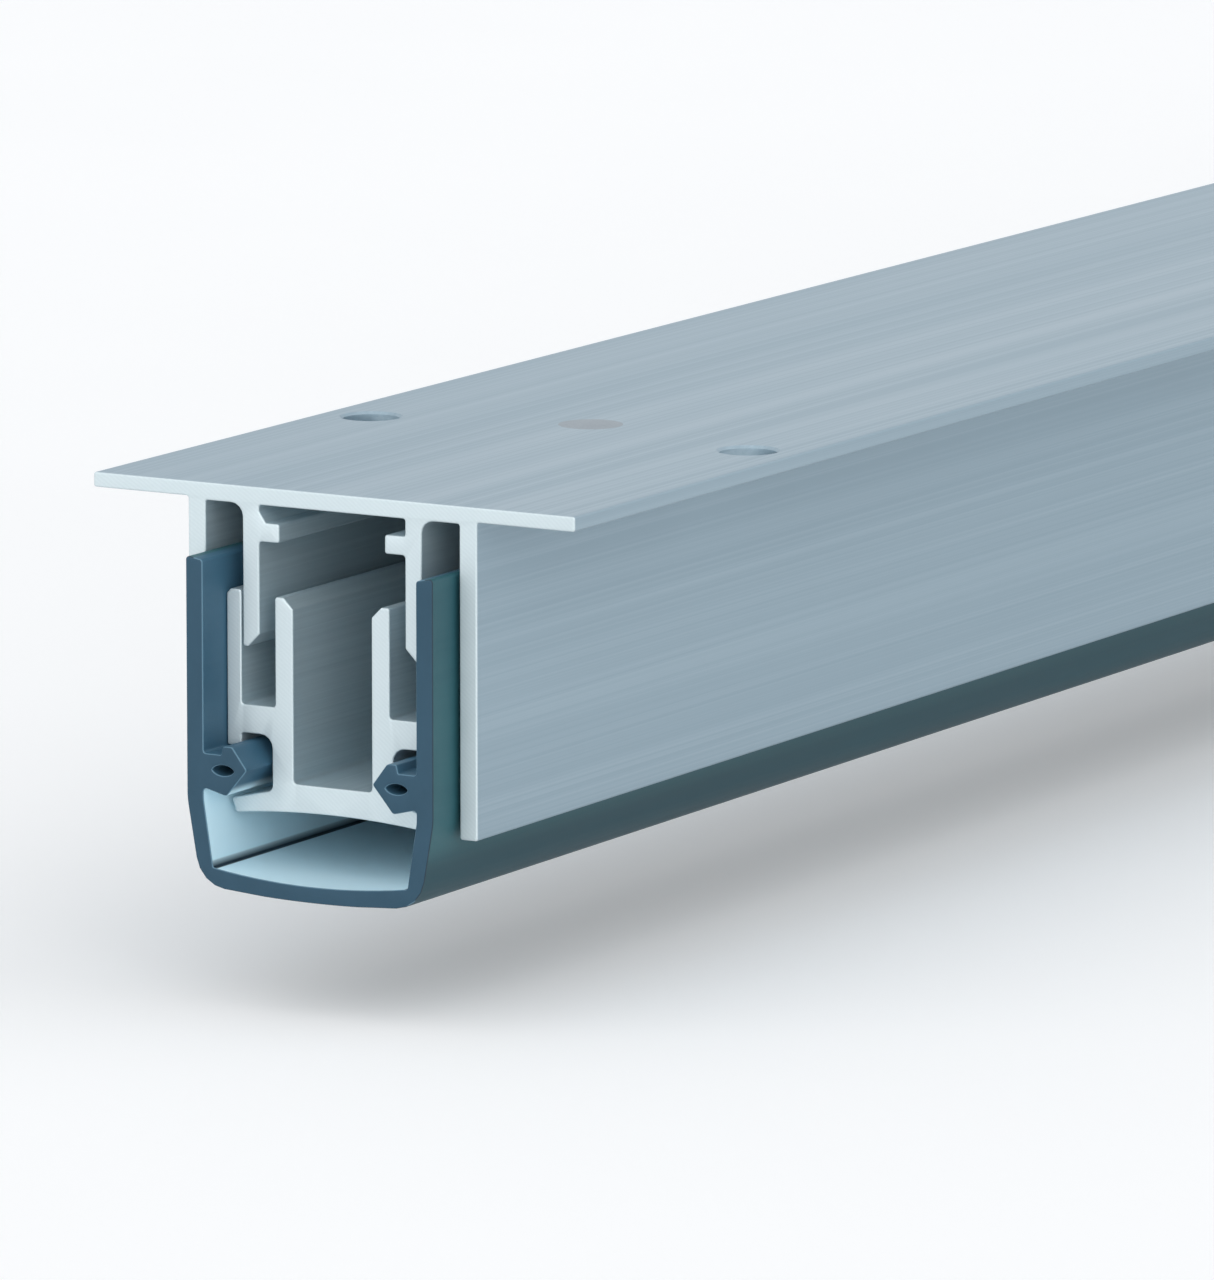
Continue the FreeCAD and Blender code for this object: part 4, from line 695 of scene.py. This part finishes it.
# Floor and studio. The floor lies below the lip at its lowest, so that the seal can drop, and
# it is clear from below. Seen directly or in a reflection, floor and sky are nearly white.
FLOOR_LEVEL, FLOOR_REACH = -0.0236, 9
FLOOR_TINT = (0.96, 0.962, 0.965, 1)
FLOOR_TINT_DULL = (0.93, 0.935, 0.94, 1)
FLOOR_GLOW = (0.09, 0.09, 0.09, 1)
SKY_TINT = (0.955, 0.975, 1.0, 1)
SKY_LIGHT, SKY_SEEN = 0.58, 0.97
floor_mesh = bpy.data.meshes.new("floor")
floor_mesh.from_pydata([(x * FLOOR_REACH, y * FLOOR_REACH, FLOOR_LEVEL)
                        for x, y in ((-1, -1), (1, -1), (1, 1), (-1, 1))], [], [(0, 1, 2, 3)])
floor = bpy.data.objects.new("floor", floor_mesh)
bpy.context.scene.collection.objects.link(floor)
pale = Finish("pale floor", Roughness=0.9, Specular_IOR_Level=0.1, Emission_Strength=1.0)
speck = pale.noise((0.02, 0.02, 0.02), detail=3.0)
seen_directly = (pale.node("ShaderNodeLightPath", output="Is Camera Ray")
                 + pale.node("ShaderNodeLightPath", output="Is Glossy Ray"))
pale.feed(Base_Color=pale.mix(speck, FLOOR_TINT_DULL, FLOOR_TINT),
          Emission_Color=pale.mix(seen_directly, (0, 0, 0, 1), FLOOR_GLOW))
from_below = pale.node("ShaderNodeNewGeometry", output="Backfacing")
clear = pale.node("ShaderNodeBsdfTransparent")
upper = Field(pale, pale.shader.outputs[0])
seen_floor = pale.node("ShaderNodeMixShader", inputs={0: from_below, 1: upper, 2: clear})
pale.tree.links.new(seen_floor.socket, pale.tree.nodes["Material Output"].inputs["Surface"])
pale.on(floor)

world = bpy.data.worlds.new("studio")
bpy.context.scene.world = world
world.use_nodes = True
sky = world.node_tree
path = sky.nodes.new("ShaderNodeLightPath")
seen = sky.nodes.new("ShaderNodeMath")
seen.operation = "MAXIMUM"
sky.links.new(path.outputs["Is Camera Ray"], seen.inputs[0])
sky.links.new(path.outputs["Is Glossy Ray"], seen.inputs[1])
strength = sky.nodes.new("ShaderNodeMapRange")
strength.inputs["To Min"].default_value = SKY_LIGHT
strength.inputs["To Max"].default_value = SKY_SEEN
sky.links.new(seen.outputs[0], strength.inputs["Value"])
background = sky.nodes["Background"]
background.inputs["Color"].default_value = SKY_TINT
sky.links.new(strength.outputs[0], background.inputs["Strength"])


def lamp(name, direction, level, spread):
    """A sun that lights a face square to it at level times its colour, from direction."""
    light = bpy.data.lights.new(name, "SUN")
    light.energy, light.angle = level * math.pi, math.radians(spread)
    source = bpy.data.objects.new(name, light)
    source.rotation_mode = "QUATERNION"
    source.rotation_quaternion = Vector(direction).to_track_quat("Z", "Y")
    bpy.context.scene.collection.objects.link(source)


lamp("key", (-0.05, -0.80, 0.60), 0.33, 90)
lamp("front", (0.46, -0.87, 0.14), 0.32, 75)
lamp("fill", (0.80, 0.10, 0.50), 0.18, 90)

# The camera stands where the photograph's viewer does: 30 degrees round from the open end,
# 10 degrees up, and a little over half a metre from it.
AZIMUTH, ELEVATION = math.radians(30), math.radians(10)
NEAR_END = Vector((0.0, -0.168, -0.0085))
AIM_ASIDE, AIM_UP = 0.0125, 0.002
FRAME_WIDTH, DISTANCE = 0.054, 0.535
SENSOR, PHOTO_WIDTH, PHOTO_HEIGHT = 36.0, 1214, 1280
back = Vector((math.sin(AZIMUTH) * math.cos(ELEVATION), -math.cos(AZIMUTH) * math.cos(ELEVATION),
               math.sin(ELEVATION)))
aside = Vector((math.cos(AZIMUTH), math.sin(AZIMUTH), 0))
camera_data = bpy.data.cameras.new("camera")
camera = bpy.data.objects.new("camera", camera_data)
bpy.context.scene.collection.objects.link(camera)
bpy.context.scene.camera = camera
camera_data.sensor_width = SENSOR
camera_data.lens = SENSOR * DISTANCE / (FRAME_WIDTH * PHOTO_HEIGHT / PHOTO_WIDTH)
camera_data.clip_start, camera_data.clip_end = 0.01, 50
camera.location = NEAR_END + aside * AIM_ASIDE + Vector((0, 0, AIM_UP)) + back * DISTANCE
camera.rotation_mode = "QUATERNION"
camera.rotation_quaternion = (-back).to_track_quat("-Z", "Y")

bpy.context.scene.view_settings.view_transform = "Standard"
